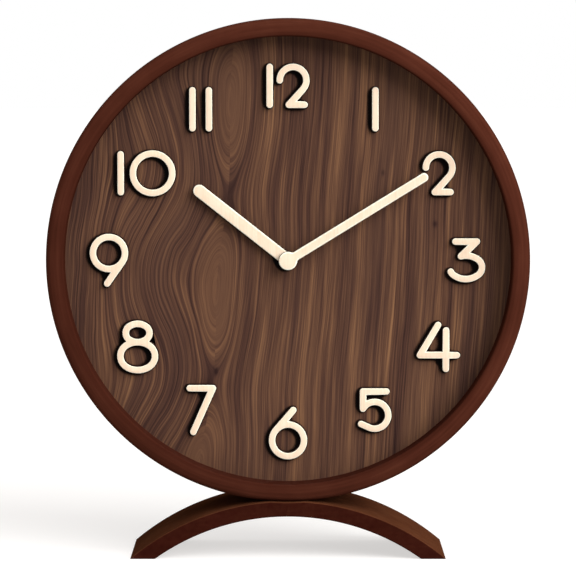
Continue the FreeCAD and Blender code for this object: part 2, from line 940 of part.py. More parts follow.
def movement_case():
    shell = block(-half_side, half_side, -half_side, half_side, housing_back, dial_back)
    shell = shell.makeFillet(housing_corner, upright_edges(shell))
    chamber = block(-chamber_half, chamber_half, chamber_floor, chamber_half,
                    housing_back, wall_back)
    bay = block(-chamber_half, chamber_half, -chamber_half, bay_top, housing_back, wall_back)
    shell = shell.cut(chamber).cut(bay)
    additions = [shell, disc(bush_radius, dial_back, bush_length)]
    for side in (-1, 1):
        for edge in (chamber_floor, chamber_half):
            inward = side * (chamber_half - post_side)
            step = post_side if edge == chamber_floor else -post_side
            additions.append(block(min(inward, side * chamber_half), max(inward, side * chamber_half),
                                   min(edge, edge + step), max(edge, edge + step),
                                   cover_front, wall_back))
        outer = side * (half_side + lug_reach)
        additions.append(block(min(side * half_side, outer), max(side * half_side, outer),
                               -lug_width / 2, lug_width / 2, dial_back - lug_thickness, dial_back))
    bushes = [
        (third_spot, train_arbor_radius, hour_wheel_front),
        (intermediate_spot, train_arbor_radius, centre_front),
        (rotor_spot, train_arbor_radius, magnet_front + end_play),
        (knob_spot, knob_arbor_radius, motion_front + end_play),
    ]
    for spot, radius, back in bushes:
        additions.append(boss(radius, back, wall_back, spot))
    additions.append(disc(motion_post_radius, motion_back - end_play, wall_back, motion_spot))
    circuit_front = dial_back - circuit_level
    carried = [(spot, circuit_front, circuit_thickness) for spot in circuit_posts()]
    carried += [(spot, third_front, lamination) for spot in stator_posts()]
    for spot, level, thickness in carried:
        additions.append(disc(circuit_post, level, wall_back, spot))
        additions.append(disc(circuit_pin, level - thickness - end_play, level, spot))
    case = fused(additions)
    case = case.cut(disc(hour_tube_radius + running_play, wall_back, bush_length))
    for spot, radius, back in bushes:
        socket_front = dial_back - front_wall / 2 + end_play
        case = case.cut(disc(radius + running_play, back, socket_front, spot))
    for spot in lug_spots():
        case = case.cut(disc(lug_screw_radius, dial_back - lug_thickness, dial_back, spot))
    return case


def movement_cover():
    half = chamber_half - cover_play
    plate = block(-half, half, chamber_floor + cover_play, half, housing_back, cover_front)
    pivots = [
        (centre_spot, second_arbor_radius),
        (third_spot, train_arbor_radius),
        (intermediate_spot, train_arbor_radius),
        (rotor_spot, train_arbor_radius),
    ]
    bosses = [boss(radius, cover_front, pivot_level, spot) for spot, radius in pivots]
    cover = fused([plate] + bosses)
    for spot, radius in pivots:
        socket = disc(radius + running_play, pivot_depth - end_play, pivot_level, spot)
        cover = cover.cut(socket)
    bearing = disc(knob_arbor_radius + running_play, housing_back, cover_front, knob_spot)
    return cover.cut(bearing)


def lug_screws():
    seat = dial_back - lug_thickness
    screw = pan_screw(lug_screw_radius, seat, lug_thickness + lug_screw_grip)
    return Part.makeCompound([moved(screw, *spot) for spot in lug_spots()])


# Battery and its contacts

cell_right = chamber_half - contact_thickness - cell_nub_length
cell_left = cell_right - cell_length


def across(radius, left, right, spot):
    return Part.makeCylinder(radius, right - left, Vector(left, spot[0], spot[1]), Vector(1, 0, 0))


def battery_cell():
    axis = (cell_height, cell_level)
    can = across(cell_radius, cell_left, cell_right, axis)
    ends = [edge for edge in can.Edges if edge.BoundBox.XLength < 0.001]
    can = can.makeChamfer(cell_radius * 0.07, ends)
    nub = across(cell_nub_radius, cell_right, cell_right + cell_nub_length, axis)
    return fused([can, nub])


def contact_plate(left, right):
    half = contact_width / 2
    low = cell_height - half
    return block(left, right, low, low + contact_width, cell_level - half, wall_back)


def positive_contact():
    return contact_plate(chamber_half - contact_thickness, chamber_half)


def negative_contact():
    plate_right = contact_thickness - chamber_half
    reach = cell_left - plate_right
    half = contact_width / 3
    crest = cell_level
    spring = [
        (plate_right, crest + half * 1.4),
        (plate_right + reach - contact_thickness / 2, crest + contact_thickness),
        (plate_right + reach - contact_thickness / 2, crest - contact_thickness),
        (plate_right, crest - half),
    ]
    outline = [Vector(x, cell_height - half, z) for x, z in spring]
    inset = [Vector(x - contact_thickness * 1.2, cell_height - half, z) for x, z in spring]
    wire = Part.makePolygon(outline + inset[::-1] + outline[:1])
    leaf = Part.Face(wire).extrude(Vector(0, 2 * half, 0))
    plate = contact_plate(-chamber_half, plate_right)
    inside = block(-chamber_half, cell_left, -half_side, half_side, housing_back, wall_back)
    return fused([plate, leaf]).common(inside)


# Motor and circuit

plate_back = third_front - lamination
core_spot = rotor_spot[0] + coil_offset
stator_left = rotor_spot[0] - stator_width / 2
stator_right = rotor_spot[0] + stator_width / 2
stator_low = rotor_spot[1] - stator_bottom


def stator():
    plate = block(stator_left, stator_right, stator_low, stator_top, plate_back, third_front)
    reach = core_spot + core_width
    lower = block(stator_left, reach, stator_low, stator_low + tab_height, plate_back, third_front)
    upper = block(stator_left, reach, stator_top - tab_height, stator_top, plate_back, third_front)
    shape = fused([plate, lower, upper])
    for spot in stator_posts():
        shape = shape.cut(disc(circuit_pin, plate_back, third_front, spot))
    return shape.cut(disc(magnet_radius + magnet_gap, plate_back, third_front, rotor_spot))


def coil_core():
    return block(core_spot - core_width / 2, core_spot + core_width / 2, stator_low, stator_top,
                 plate_back - lamination, plate_back)


bobbin_low = stator_low + tab_height + bobbin_play
bobbin_high = stator_top - tab_height - bobbin_play
core_level = plate_back - lamination / 2


def along_core(radius, low, high):
    return Part.makeCylinder(radius, high - low, Vector(core_spot, low, core_level),
                             Vector(0, 1, 0))


def coil_bobbin():
    barrel = along_core(bobbin_bore + bobbin_wall, bobbin_low, bobbin_high)
    flanges = [
        along_core(bobbin_flange, bobbin_low, bobbin_low + flange_thickness),
        along_core(bobbin_flange, bobbin_high - flange_thickness, bobbin_high),
    ]
    spool = fused([barrel] + flanges)
    return spool.cut(coil_core())


def coil_winding():
    low = bobbin_low + flange_thickness
    high = bobbin_high - flange_thickness
    inner = bobbin_bore + bobbin_wall
    return along_core(inner + winding_depth, low, high).cut(along_core(inner, low, high))


def circuit_board():
    level = dial_back - circuit_level
    board = block(circuit_left, circuit_left + circuit_width, circuit_top - circuit_height,
                  circuit_top, level - circuit_thickness, level)
    for spot in circuit_posts():
        board = board.cut(disc(circuit_pin, level - circuit_thickness, level, spot))
    return board


circuit_back = dial_back - circuit_level - circuit_thickness
circuit_middle = (circuit_left + circuit_width / 2, circuit_top - circuit_height / 2)


def quartz_crystal():
    left = circuit_middle[0] + chip_radius / 2
    height = circuit_middle[1] + circuit_height / 4
    level = circuit_back - crystal_radius
    can = across(crystal_radius, left, left + crystal_length, (height, level))
    pad = block(left, left + crystal_length, height - crystal_radius / 2,
                height + crystal_radius / 2, level, circuit_back)
    return fused([can, pad])


def chip():
    x, y = circuit_middle
    ball_radius = (chip_radius ** 2 + chip_height ** 2) / (2 * chip_height)
    ball = Part.makeSphere(ball_radius, Vector(x, y, circuit_back + ball_radius - chip_height))
    room = disc(chip_radius, circuit_back - chip_height, circuit_back, (x, y))
    return ball.common(room)


# Everything, stood up and written out

pieces = {
    "case_ring": case_ring,
    "dial_panel": dial_panel,
    "spacer_blocks": spacer_blocks,
    "back_board": back_board,
    "board_screws": board_screws,
    "arch_foot": arch_foot,
    "foot_screws": foot_screws,
    "hour_hand": hour_hand,
    "minute_hand": minute_hand,
    "hour_wheel": hour_wheel,
    "cannon_pinion": cannon_pinion,
    "motion_wheel": motion_wheel,
    "centre_wheel": centre_wheel,
    "slip_spring": slip_spring,
    "third_wheel": third_wheel,
    "second_wheel": second_wheel,
    "intermediate_wheel": intermediate_wheel,
    "rotor": rotor,
    "rotor_magnet": rotor_magnet,
    "setting_arbor": setting_arbor,
    "setting_knob": setting_knob,
    "movement_case": movement_case,
    "movement_cover": movement_cover,
    "movement_screws": lug_screws,
    "battery_cell": battery_cell,
    "positive_contact": positive_contact,
    "negative_contact": negative_contact,
    "stator": stator,
    "coil_core": coil_core,
    "coil_bobbin": coil_bobbin,
    "coil_winding": coil_winding,
    "circuit_board": circuit_board,
    "quartz_crystal": quartz_crystal,
    "circuit_chip": chip,
}

os.makedirs("parts", exist_ok=True)
for name, build in pieces.items():
    placed(build()).exportStep(f"parts/{name}.step")
for hour in range(1, 13):
    placed(numeral(hour)).exportStep(f"parts/numeral_{hour:02d}.step")
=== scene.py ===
import math

import bmesh
import bpy
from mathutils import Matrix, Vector


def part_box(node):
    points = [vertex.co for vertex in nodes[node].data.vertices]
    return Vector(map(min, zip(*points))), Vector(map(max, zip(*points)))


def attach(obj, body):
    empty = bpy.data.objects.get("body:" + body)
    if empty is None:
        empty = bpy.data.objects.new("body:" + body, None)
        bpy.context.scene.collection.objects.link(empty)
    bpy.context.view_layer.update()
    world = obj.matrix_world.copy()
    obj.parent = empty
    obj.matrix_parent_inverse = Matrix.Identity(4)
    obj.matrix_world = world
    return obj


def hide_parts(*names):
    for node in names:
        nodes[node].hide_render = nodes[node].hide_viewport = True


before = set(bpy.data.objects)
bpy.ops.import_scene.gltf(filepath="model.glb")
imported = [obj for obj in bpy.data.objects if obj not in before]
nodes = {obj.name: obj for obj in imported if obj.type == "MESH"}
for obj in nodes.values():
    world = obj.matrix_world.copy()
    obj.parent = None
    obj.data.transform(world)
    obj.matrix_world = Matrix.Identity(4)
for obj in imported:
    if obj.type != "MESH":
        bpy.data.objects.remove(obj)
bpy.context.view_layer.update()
scene = bpy.context.scene
scene.view_settings.view_transform = "Standard"
print("frame loaded,", len(nodes), "nodes")


# Where things are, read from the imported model
caseLow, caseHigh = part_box("case_ring")
hubHeight = (caseLow.z + caseHigh.z) / 2
caseRadius = (caseHigh.x - caseLow.x) / 2
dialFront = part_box("dial_panel")[0].y


# Small helpers for node trees

def linear(red, green, blue):
    # a colour as read off a screen, 0 to 255, made linear for a shader
    parts = []
    for value in (red, green, blue):
        value = value / 255
        parts.append(value / 12.92 if value <= 0.04045 else ((value + 0.055) / 1.055) ** 2.4)
    return (*parts, 1.0)


class Tree:
    # thin wrapper that adds nodes and joins them in one line each

    def __init__(self, tree):
        self.tree = tree
        self.column = 0

    def add(self, kind, inputs=None, **settings):
        node = self.tree.nodes.new(kind)
        node.location = (self.column, 0)
        self.column += 180
        for name, value in settings.items():
            setattr(node, name, value)
        for name, value in (inputs or {}).items():
            self.give(node, name, value)
        return node

    def give(self, node, name, value):
        socket = node.inputs[name]
        if isinstance(value, bpy.types.NodeSocket):
            self.tree.links.new(value, socket)
        else:
            socket.default_value = value

    def math(self, operation, first, second=0.0, clamp=False):
        node = self.add("ShaderNodeMath", {0: first, 1: second}, operation=operation, use_clamp=clamp)
        return node.outputs[0]

    def plus(self, first, second, clamp=False):
        return self.math("ADD", first, second, clamp)

    def minus(self, first, second):
        return self.math("SUBTRACT", first, second)

    def times(self, first, second, clamp=False):
        return self.math("MULTIPLY", first, second, clamp)

    def noise(self, vector, scale, detail, roughness, w=None):
        node = self.add("ShaderNodeTexNoise", {"Vector": vector, "Scale": scale, "Detail": detail,
                                               "Roughness": roughness},
                        noise_dimensions="3D" if w is None else "4D")
        if w is not None:
            self.give(node, "W", w)
        return node.outputs["Fac"]

    def ramp(self, factor, stops):
        node = self.add("ShaderNodeValToRGB", {"Fac": factor})
        band = node.color_ramp
        while len(band.elements) < len(stops):
            band.elements.new(0.5)
        for element, (position, colour) in zip(band.elements, stops):
            element.position = position
            element.color = colour
        return node.outputs["Color"]

    def span(self, value, low, high, toLow=0.0, toHigh=1.0, smooth=False):
        node = self.add("ShaderNodeMapRange", {"Value": value, "From Min": low, "From Max": high,
                                               "To Min": toLow, "To Max": toHigh})
        if smooth:
            node.interpolation_type = "SMOOTHSTEP"
        return node.outputs["Result"]

    def mix(self, factor, first, second):
        node = self.add("ShaderNodeMix", data_type="RGBA")
        self.give(node, 0, factor)
        self.give(node, 6, first)
        self.give(node, 7, second)
        return node.outputs[2]

    def split(self, vector):
        node = self.add("ShaderNodeSeparateXYZ", {"Vector": vector})
        return node.outputs["X"], node.outputs["Y"], node.outputs["Z"]

    def join(self, x, y, z):
        return self.add("ShaderNodeCombineXYZ", {"X": x, "Y": y, "Z": z}).outputs["Vector"]

    def weighted(self, *pairs):
        total = None
        for value, weight in pairs:
            part = self.times(value, weight)
            total = part if total is None else self.plus(total, part)
        return total

    def length(self, x, z):
        return self.math("SQRT", self.plus(self.times(x, x), self.times(z, z)))

    def bump(self, height, strength, distance):
        return self.add("ShaderNodeBump", {"Height": height, "Strength": strength,
                                           "Distance": distance}).outputs["Normal"]


def newGroup(name, inputs, outputs, family="ShaderNodeTree"):
    group = bpy.data.node_groups.new(name, family)
    for label, kind, value in inputs:
        socket = group.interface.new_socket(label, in_out="INPUT", socket_type=kind)
        if value is not None:
            socket.default_value = value
    for label, kind in outputs:
        group.interface.new_socket(label, in_out="OUTPUT", socket_type=kind)
    tree = Tree(group)
    start = tree.add("NodeGroupInput")
    end = tree.add("NodeGroupOutput")
    return group, tree, start, end


def newMaterial(name, **surface):
    material = bpy.data.materials.new(name)
    material.use_nodes = True
    material.node_tree.nodes.clear()
    tree = Tree(material.node_tree)
    place = tree.add("ShaderNodeTexCoord").outputs["Object"]
    shader = tree.add("ShaderNodeBsdfPrincipled")
    for label, value in surface.items():
        shader.inputs[label.replace("_", " ")].default_value = value
    end = tree.add("ShaderNodeOutputMaterial")
    tree.tree.links.new(shader.outputs[0], end.inputs["Surface"])
    return material, tree, place, shader


# Shared effects

def buildFibreGroup():
    # short dark fibres and pores that run along Z, for every bare or stained wood
    group, tree, start, end = newGroup(
        "woodFibre",
        [("Vector", "NodeSocketVector", None), ("Across", "NodeSocketFloat", 2600.0),
         ("Along", "NodeSocketFloat", 60.0), ("Pores", "NodeSocketFloat", 0.5)],
        [("Fibre", "NodeSocketFloat"), ("Pore", "NodeSocketFloat")])
    x, y, z = tree.split(start.outputs["Vector"])
    across = start.outputs["Across"]
    along = start.outputs["Along"]
    stretched = tree.join(tree.times(x, across), tree.times(y, across), tree.times(z, along))
    fibre = tree.noise(stretched, 1.0, 3.0, 0.6)
    finer = tree.add("ShaderNodeVectorMath", {0: stretched, 1: (1.9, 1.9, 2.6)}, operation="MULTIPLY")
    pore = tree.noise(finer.outputs[0], 1.0, 1.0, 0.4)
    limit = tree.minus(0.78, tree.times(start.outputs["Pores"], 0.16))
    pore = tree.times(tree.minus(pore, limit), 9.0, clamp=True)
    tree.give(end, "Fibre", fibre)
    tree.give(end, "Pore", pore)
    return group


def buildDustGroup():
    # faint settled dust on faces that look up, and fine handling marks everywhere
    group, tree, start, end = newGroup(
        "surfaceLife",
        [("Vector", "NodeSocketVector", None), ("Scale", "NodeSocketFloat", 400.0)],
        [("Dust", "NodeSocketFloat"), ("Marks", "NodeSocketFloat")])
    up = tree.split(tree.add("ShaderNodeNewGeometry").outputs["Normal"])[2]
    cloud = tree.noise(start.outputs["Vector"], start.outputs["Scale"], 4.0, 0.65)
    dust = tree.times(tree.span(up, 0.3, 1.0), tree.span(cloud, 0.45, 0.75))
    wide = tree.times(start.outputs["Scale"], 0.12)
    marks = tree.noise(start.outputs["Vector"], wide, 3.0, 0.7)
    tree.give(end, "Dust", dust)
    tree.give(end, "Marks", marks)
    return group


def buildWearGroup():
    # edges that stand out, broken up so that the wear looks uneven
    group, tree, start, end = newGroup(
        "edgeWear",
        [("Vector", "NodeSocketVector", None), ("Scale", "NodeSocketFloat", 500.0)],
        [("Edge", "NodeSocketFloat")])
    point = tree.add("ShaderNodeNewGeometry").outputs["Pointiness"]
    edge = tree.span(point, 0.505, 0.56)
    broken = tree.noise(start.outputs["Vector"], start.outputs["Scale"], 3.0, 0.6)
    tree.give(end, "Edge", tree.times(edge, tree.span(broken, 0.3, 0.7)))
    return group


woodFibre = buildFibreGroup()
surfaceLife = buildDustGroup()
edgeWear = buildWearGroup()


def useGroup(tree, group, **inputs):
    node = tree.add("ShaderNodeGroup")
    node.node_tree = group
    for label, value in inputs.items():
        tree.give(node, label, value)
    return node


# Walnut face veneer: narrow flames left of the middle, wavy lines beyond them, straight streaks to the right

walnut = {
    "heart": -0.0285,
    "lean": 0.065,
    "flameLow": -0.012,
    "flamePeriod": 0.079,
    "flameDepth": (0.0050, 0.0042),
    "swingAt": -0.056,
    "swingWidth": 0.019,
    "swingLow": -0.004,
    "swingPeriod": 0.086,
    "swing": 0.0065,
    "wander": ((17.0, 1.0, 8.0), 1.0, 0.0085),
    "ripple": ((52.0, 1.0, 24.0), 2.0, 0.0044),
    "side": 0.31,
    "lineGap": 0.00175,
    "lineDepth": -0.13,
    "streaks": ((150.0, 7.0, 2.0, 0.55), (520.0, 11.0, 3.0, 0.6), (1900.0, 22.0, 2.0, 0.6)),
    "weights": (0.72, 0.80, 0.85),
    "lineBend": 9.0,
    "pale": (430.0, 6.0, 1.0, 0.55),
    "insideSpan": (0.0030, 0.0080),
    "rim": (0.0092, 0.0005, -0.09),
    "knots": ((0.040, 0.0368, 0.0007, 0.0012), (0.062, 0.0152, 0.0009, 0.0013),
              (-0.0305, -0.047, 0.0009, 0.0016)),
    "shades": ((0.14, (46, 30, 27)), (0.34, (69, 46, 39)), (0.50, (86, 59, 46)), (0.66, (106, 74, 55)),
               (0.88, (136, 98, 69))),
    "cast": (60.0, 5.0, 2.0, 0.55),
    "castTone": linear(84, 60, 50),
    "poreTone": linear(46, 31, 26),
    # painted shadow beside the pieces fixed to the face: the direction it is probed towards, its reach, span,
    # where it ends and its near-black tone
    "lightFrom": (0.62, -0.75, 0.22),
    "paintedShadowReach": 0.0034,
    "paintedShadowSpan": (0.63, 0.76),
    "paintedShadowEnds": (0.0855, 0.0875),
    "paintedShadowTone": linear(3, 2, 2),
}


def hump(tree, value, centre, width):
    # a smooth bell: one at the centre, near nothing beyond twice the width
    share = tree.math("DIVIDE", tree.minus(value, centre), width)
    return tree.math("EXPONENT", tree.times(tree.times(share, share), -1.0))


def veneerFlow(tree, x, z):
    # distance across the grain: bends round the flames, swings on the left, runs straight on the right
    flat = tree.join(x, 0.0, z)
    leftShare = tree.span(x, -0.045, 0.0, 1.0, 0.3, smooth=True)
    sways = []
    for scales, detail, reach in (walnut["wander"], walnut["ripple"]):
        place = tree.add("ShaderNodeVectorMath", {0: flat, 1: scales}, operation="MULTIPLY").outputs[0]
        centred = tree.minus(tree.noise(place, 1.0, detail, 0.5), 0.5)
        sways.append(tree.times(centred, reach))
    bend = tree.times(tree.plus(*sways), leftShare)
    swing = tree.math("COSINE", tree.times(tree.minus(z, walnut["swingLow"]), 2 * math.pi / walnut["swingPeriod"]))
    near = hump(tree, x, walnut["swingAt"], walnut["swingWidth"])
    swing = tree.times(tree.times(swing, near), walnut["swing"])
    axis = tree.plus(tree.times(z, walnut["lean"]), walnut["heart"])
    across = tree.plus(tree.plus(tree.minus(x, axis), bend), swing)
    beat = tree.math("COSINE", tree.times(tree.minus(z, walnut["flameLow"]), 2 * math.pi / walnut["flamePeriod"]))
    middle, reach = walnut["flameDepth"]
    depth = tree.minus(middle, tree.times(beat, reach))
    spread = tree.length(across, depth)
    return spread, tree.times(tree.math("SIGN", across), walnut["side"])


def streaks(tree, flow, z, across, along, detail, roughness):
    # noise drawn out along the grain
    place = tree.join(tree.times(flow, across), 0.0, tree.times(z, along))
    return tree.minus(tree.noise(place, 1.0, detail, roughness), 0.5)


def makeWalnut():
    material, tree, place, shader = newMaterial("walnutVeneer", Roughness=0.6, IOR=1.1)
    x, y, z = tree.split(place)
    z = tree.minus(z, hubHeight)
    spread, side = veneerFlow(tree, x, z)
    flow = tree.plus(spread, side)
    inside = tree.span(spread, *walnut["insideSpan"], 1.0, 0.0, smooth=True)
    broad, medium, fine = (streaks(tree, flow, z, *grades) for grades in walnut["streaks"])
    tone = tree.weighted(*zip((broad, medium, fine), walnut["weights"]))
    # evenly spaced late-wood lines, strongest left of the flames
    count = tree.times(flow, 2 * math.pi / walnut["lineGap"])
    lines = tree.math("COSINE", tree.plus(count, tree.times(medium, walnut["lineBend"])))
    lines = tree.times(tree.math("POWER", tree.span(lines, -1.0, 1.0), 3.0), walnut["lineDepth"])
    lines = tree.times(lines, tree.span(x, -0.036, -0.016, 1.0, 0.22, smooth=True))
    tone = tree.plus(tone, lines)
    # narrow pale streaks that come and go along their length
    pale = tree.span(streaks(tree, flow, z, *walnut["pale"]), 0.10, 0.20, 0.0, 0.20)
    tone = tree.plus(tone, tree.times(pale, tree.span(x, -0.03, 0.02, 0.45, 1.0)))
    tone = tree.times(tone, tree.minus(1.0, tree.times(inside, 0.7)))
    tone = tree.plus(tone, tree.times(inside, 0.10))
    rimAt, rimWidth, rimDepth = walnut["rim"]
    rim = tree.times(hump(tree, spread, rimAt, rimWidth), rimDepth)
    tone = tree.plus(tree.plus(tone, rim), 0.51)
    for knotX, knotZ, halfWidth, halfHeight in walnut["knots"]:
        knot = tree.times(hump(tree, x, knotX, halfWidth), hump(tree, z, knotZ, halfHeight))
        tone = tree.minus(tone, tree.times(knot, 0.3))
    grain = useGroup(tree, woodFibre, Vector=tree.join(flow, 0.0, z), Across=3000.0, Along=70.0, Pores=0.6)
    fibre, pore = grain.outputs["Fibre"], grain.outputs["Pore"]
    tone = tree.plus(tone, tree.times(tree.minus(fibre, 0.5), 0.22))
    colour = tree.ramp(tone, [(position, linear(*shade)) for position, shade in walnut["shades"]])
    cast = tree.span(streaks(tree, flow, z, *walnut["cast"]), -0.05, 0.2, 0.0, 0.25)
    colour = tree.mix(cast, colour, walnut["castTone"])
    colour = tree.mix(tree.times(pore, 0.4), colour, walnut["poreTone"])
    # painted shadow: a near-black band beside the pieces fixed to the face, on their side away from the key light,
    # found by an occlusion probe aimed towards that light
    lookOut = tree.join(*walnut["lightFrom"])
    paintedShadowProbe = tree.add("ShaderNodeAmbientOcclusion", {"Distance": walnut["paintedShadowReach"], "Normal": lookOut},
                       samples=28)
    shade = tree.span(paintedShadowProbe.outputs["AO"], *walnut["paintedShadowSpan"], 0.99, 0.0, smooth=True)
    shade = tree.times(shade, tree.span(tree.length(x, z), *walnut["paintedShadowEnds"], 1.0, 0.0))
    colour = tree.mix(shade, colour, walnut["paintedShadowTone"])
    tree.give(shader, "Base Color", colour)
    tree.give(shader, "Normal", tree.bump(tree.minus(fibre, pore), 0.1, 0.0003))
    return material


# Stained ring and foot, with painted shade at the ring's inner lip and painted light on the foot's upward faces

stain = {
    "deep": linear(63, 30, 20),
    "base": linear(75, 37, 26),
    "warm": linear(85, 45, 32),
    # painted shade that darkens the ring towards its inner lip
    "paintedLipShade": linear(52, 22, 14),
    "lip": (0.0080, 0.0042, 0.6),
    "dust": linear(190, 180, 170),
    "dustShare": 0.015,
    # darker front faces and lighter upward faces: painted shade and painted light for light from above
    "footFrontPaintedShade": (linear(43, 14, 9), linear(49, 17, 11), linear(56, 22, 15)),
    "footTopPaintedLight": (linear(71, 38, 22), linear(83, 46, 28), linear(94, 55, 34)),
    "footEdge": linear(112, 68, 46),
}


def finishStain(tree, place, shader, colour, streak, roughest, strength):
    # a little dust, an uneven sheen and raised fibres
    life = useGroup(tree, surfaceLife, Vector=place, Scale=420.0)
    dusty = tree.times(life.outputs["Dust"], stain["dustShare"])
    tree.give(shader, "Base Color", tree.mix(dusty, colour, stain["dust"]))
    tree.give(shader, "Roughness", tree.span(life.outputs["Marks"], 0.3, 0.7, 0.5, roughest))
    tree.give(shader, "Normal", tree.bump(streak, strength, 0.0002))


def makeRingStain():
    material, tree, place, shader = newMaterial("stainedRing", Roughness=0.6, IOR=1.0)
    x, y, z = tree.split(place)
    z = tree.minus(z, hubHeight)
    radius = tree.length(x, z)
    around = tree.join(tree.times(tree.math("DIVIDE", x, radius), 3.2),
                       tree.times(tree.math("DIVIDE", z, radius), 3.2), tree.times(radius, 900.0))
    streak = tree.noise(around, 1.0, 3.0, 0.6, w=tree.times(y, 700.0))
    cloud = tree.noise(place, 42.0, 3.0, 0.6)
    tone = tree.weighted((streak, 0.55), (cloud, 0.45))
    colour = tree.ramp(tone, [(0.32, stain["deep"]), (0.50, stain["base"]), (0.68, stain["warm"])])
    # painted shade: the ring darkens towards the inner lip, standing in for the shade of the recess
    near, far, amount = stain["lip"]
    lip = tree.span(radius, caseRadius - near, caseRadius - far, amount, 0.0, smooth=True)
    colour = tree.mix(lip, colour, stain["paintedLipShade"])
    finishStain(tree, place, shader, colour, streak, 0.6, 0.05)
    return material


def makeFootStain():
    material, tree, place, shader = newMaterial("stainedFoot", Roughness=0.6, IOR=1.0)
    x, y, z = tree.split(place)
    stretched = tree.join(tree.times(x, 55.0), tree.times(y, 900.0), tree.times(z, 420.0))
    streak = tree.noise(stretched, 1.0, 3.0, 0.6)
    cloud = tree.noise(place, 48.0, 3.0, 0.6)
    tone = tree.weighted((streak, 0.5), (cloud, 0.5))
    # painted light: upward faces take the lighter copy of the stain, front faces the darker copy
    front, top = (tree.ramp(tone, list(zip((0.32, 0.50, 0.68), shades)))
                  for shades in (stain["footFrontPaintedShade"], stain["footTopPaintedLight"]))
    up = tree.split(tree.add("ShaderNodeNewGeometry").outputs["Normal"])[2]
    colour = tree.mix(tree.span(up, 0.15, 0.6), front, top)
    edge = useGroup(tree, edgeWear, Vector=place, Scale=500.0).outputs["Edge"]
    colour = tree.mix(tree.times(edge, 0.2), colour, stain["footEdge"])
    finishStain(tree, place, shader, colour, streak, 0.62, 0.06)
    return material


# Pale maple for the numerals and hands: face, paler eased edge, scorched cut edge

maple = {
    "face": linear(250, 226, 200),
    "faceDark": linear(240, 210, 180),
    "edge": linear(255, 252, 232),
    "scorch": (linear(16, 10, 8), linear(52, 32, 22)),
}


def makeMapleFace():
    material, tree, place, shader = newMaterial("mapleFace", Roughness=0.6, Specular_IOR_Level=0.1)
    fibre = useGroup(tree, woodFibre, Vector=place, Across=1500.0, Along=70.0, Pores=0.2).outputs["Fibre"]
    cloud = tree.noise(place, 120.0, 3.0, 0.6)
    tone = tree.weighted((fibre, 0.6), (cloud, 0.4))
    colour = tree.ramp(tone, [(0.30, maple["faceDark"]), (0.62, maple["face"])])
    tree.give(shader, "Base Color", colour)
    tree.give(shader, "Normal", tree.bump(fibre, 0.05, 0.0002))
    return material


def makeMapleEdge():
    material, tree, place, shader = newMaterial("mapleEdge", Roughness=0.55, Specular_IOR_Level=0.1)
    cloud = tree.noise(place, 900.0, 3.0, 0.6)
    tree.give(shader, "Base Color", tree.ramp(cloud, [(0.3, maple["face"]), (0.6, maple["edge"])]))
    return material


def makeScorch():
    material, tree, place, shader = newMaterial("scorchedEdge", Roughness=0.85, Specular_IOR_Level=0.05)
    layers = tree.join(0.0, tree.times(tree.split(place)[1], 2600.0), 0.0)
    ply = tree.noise(layers, 1.0, 1.0, 0.5)
    cloud = tree.noise(place, 800.0, 3.0, 0.6)
    tone = tree.weighted((ply, 0.5), (cloud, 0.5))
    deep, pale = maple["scorch"]
    tree.give(shader, "Base Color", tree.ramp(tone, [(0.3, deep), (0.7, pale)]))
    tree.give(shader, "Normal", tree.bump(cloud, 0.2, 0.0002))
    return material


# Materials of the back, the movement and the small parts

# darker and lighter tone, scale of the clouding, roughness, metal, depth of the tooth
stock = {
    "blackHardboard": ((34, 30, 28), (54, 48, 44), 900.0, 0.72, 0.0, 0.25),
    "housingBlack": ((24, 24, 25), (34, 34, 36), 1400.0, 0.48, 0.0, 0.12),
    "knobBlack": ((20, 20, 21), (30, 30, 31), 1200.0, 0.34, 0.0, 0.05),
    "zincSteel": ((150, 150, 146), (196, 196, 190), 1500.0, 0.34, 1.0, 0.05),
    "brightSteel": ((160, 160, 162), (205, 205, 208), 1500.0, 0.28, 1.0, 0.05),
    "siliconSteel": ((110, 110, 114), (150, 150, 152), 1800.0, 0.4, 1.0, 0.05),
    "turnedBrass": ((190, 150, 84), (224, 190, 120), 1600.0, 0.3, 1.0, 0.05),
    "whiteNylon": ((222, 218, 206), (240, 237, 228), 700.0, 0.5, 0.0, 0.03),
    "magnetGrey": ((70, 70, 72), (100, 100, 102), 2400.0, 0.45, 1.0, 0.05),
    "bobbinGreen": ((32, 82, 62), (44, 104, 78), 900.0, 0.45, 0.0, 0.05),
    "copperWire": ((184, 96, 54), (220, 132, 80), 2200.0, 0.32, 1.0, 0.05),
    "boardLaminate": ((138, 98, 52), (170, 124, 70), 1500.0, 0.55, 0.0, 0.05),
    "blackResin": ((12, 12, 12), (22, 22, 22), 900.0, 0.2, 0.0, 0.05),
    "nickelPlate": ((188, 184, 172), (222, 218, 206), 1500.0, 0.24, 1.0, 0.05),
}


def makePlain(name, dark, light, scale, roughness, metallic, tooth):
    # one recipe for moulded, pressed and turned stock: two tones, uneven sheen and a fine tooth
    material, tree, place, shader = newMaterial(name, Metallic=metallic)
    tone = tree.noise(place, scale, 4.0, 0.6)
    life = useGroup(tree, surfaceLife, Vector=place, Scale=500.0)
    edge = useGroup(tree, edgeWear, Vector=place, Scale=600.0).outputs["Edge"]
    worn = (*(min(1.0, part * 1.8 + 0.02) for part in light[:3]), 1)
    colour = tree.ramp(tone, [(0.3, dark), (0.7, light)])
    colour = tree.mix(tree.times(edge, 0.25), colour, worn)
    colour = tree.mix(tree.times(life.outputs["Dust"], 0.08), colour, linear(170, 165, 158))
    tree.give(shader, "Base Color", colour)
    tree.give(shader, "Roughness", tree.span(life.outputs["Marks"], 0.3, 0.7, roughness - 0.06, roughness + 0.08))
    tree.give(shader, "Normal", tree.bump(tree.noise(place, scale * 3, 2.0, 0.6), tooth, 0.0002))
    return material


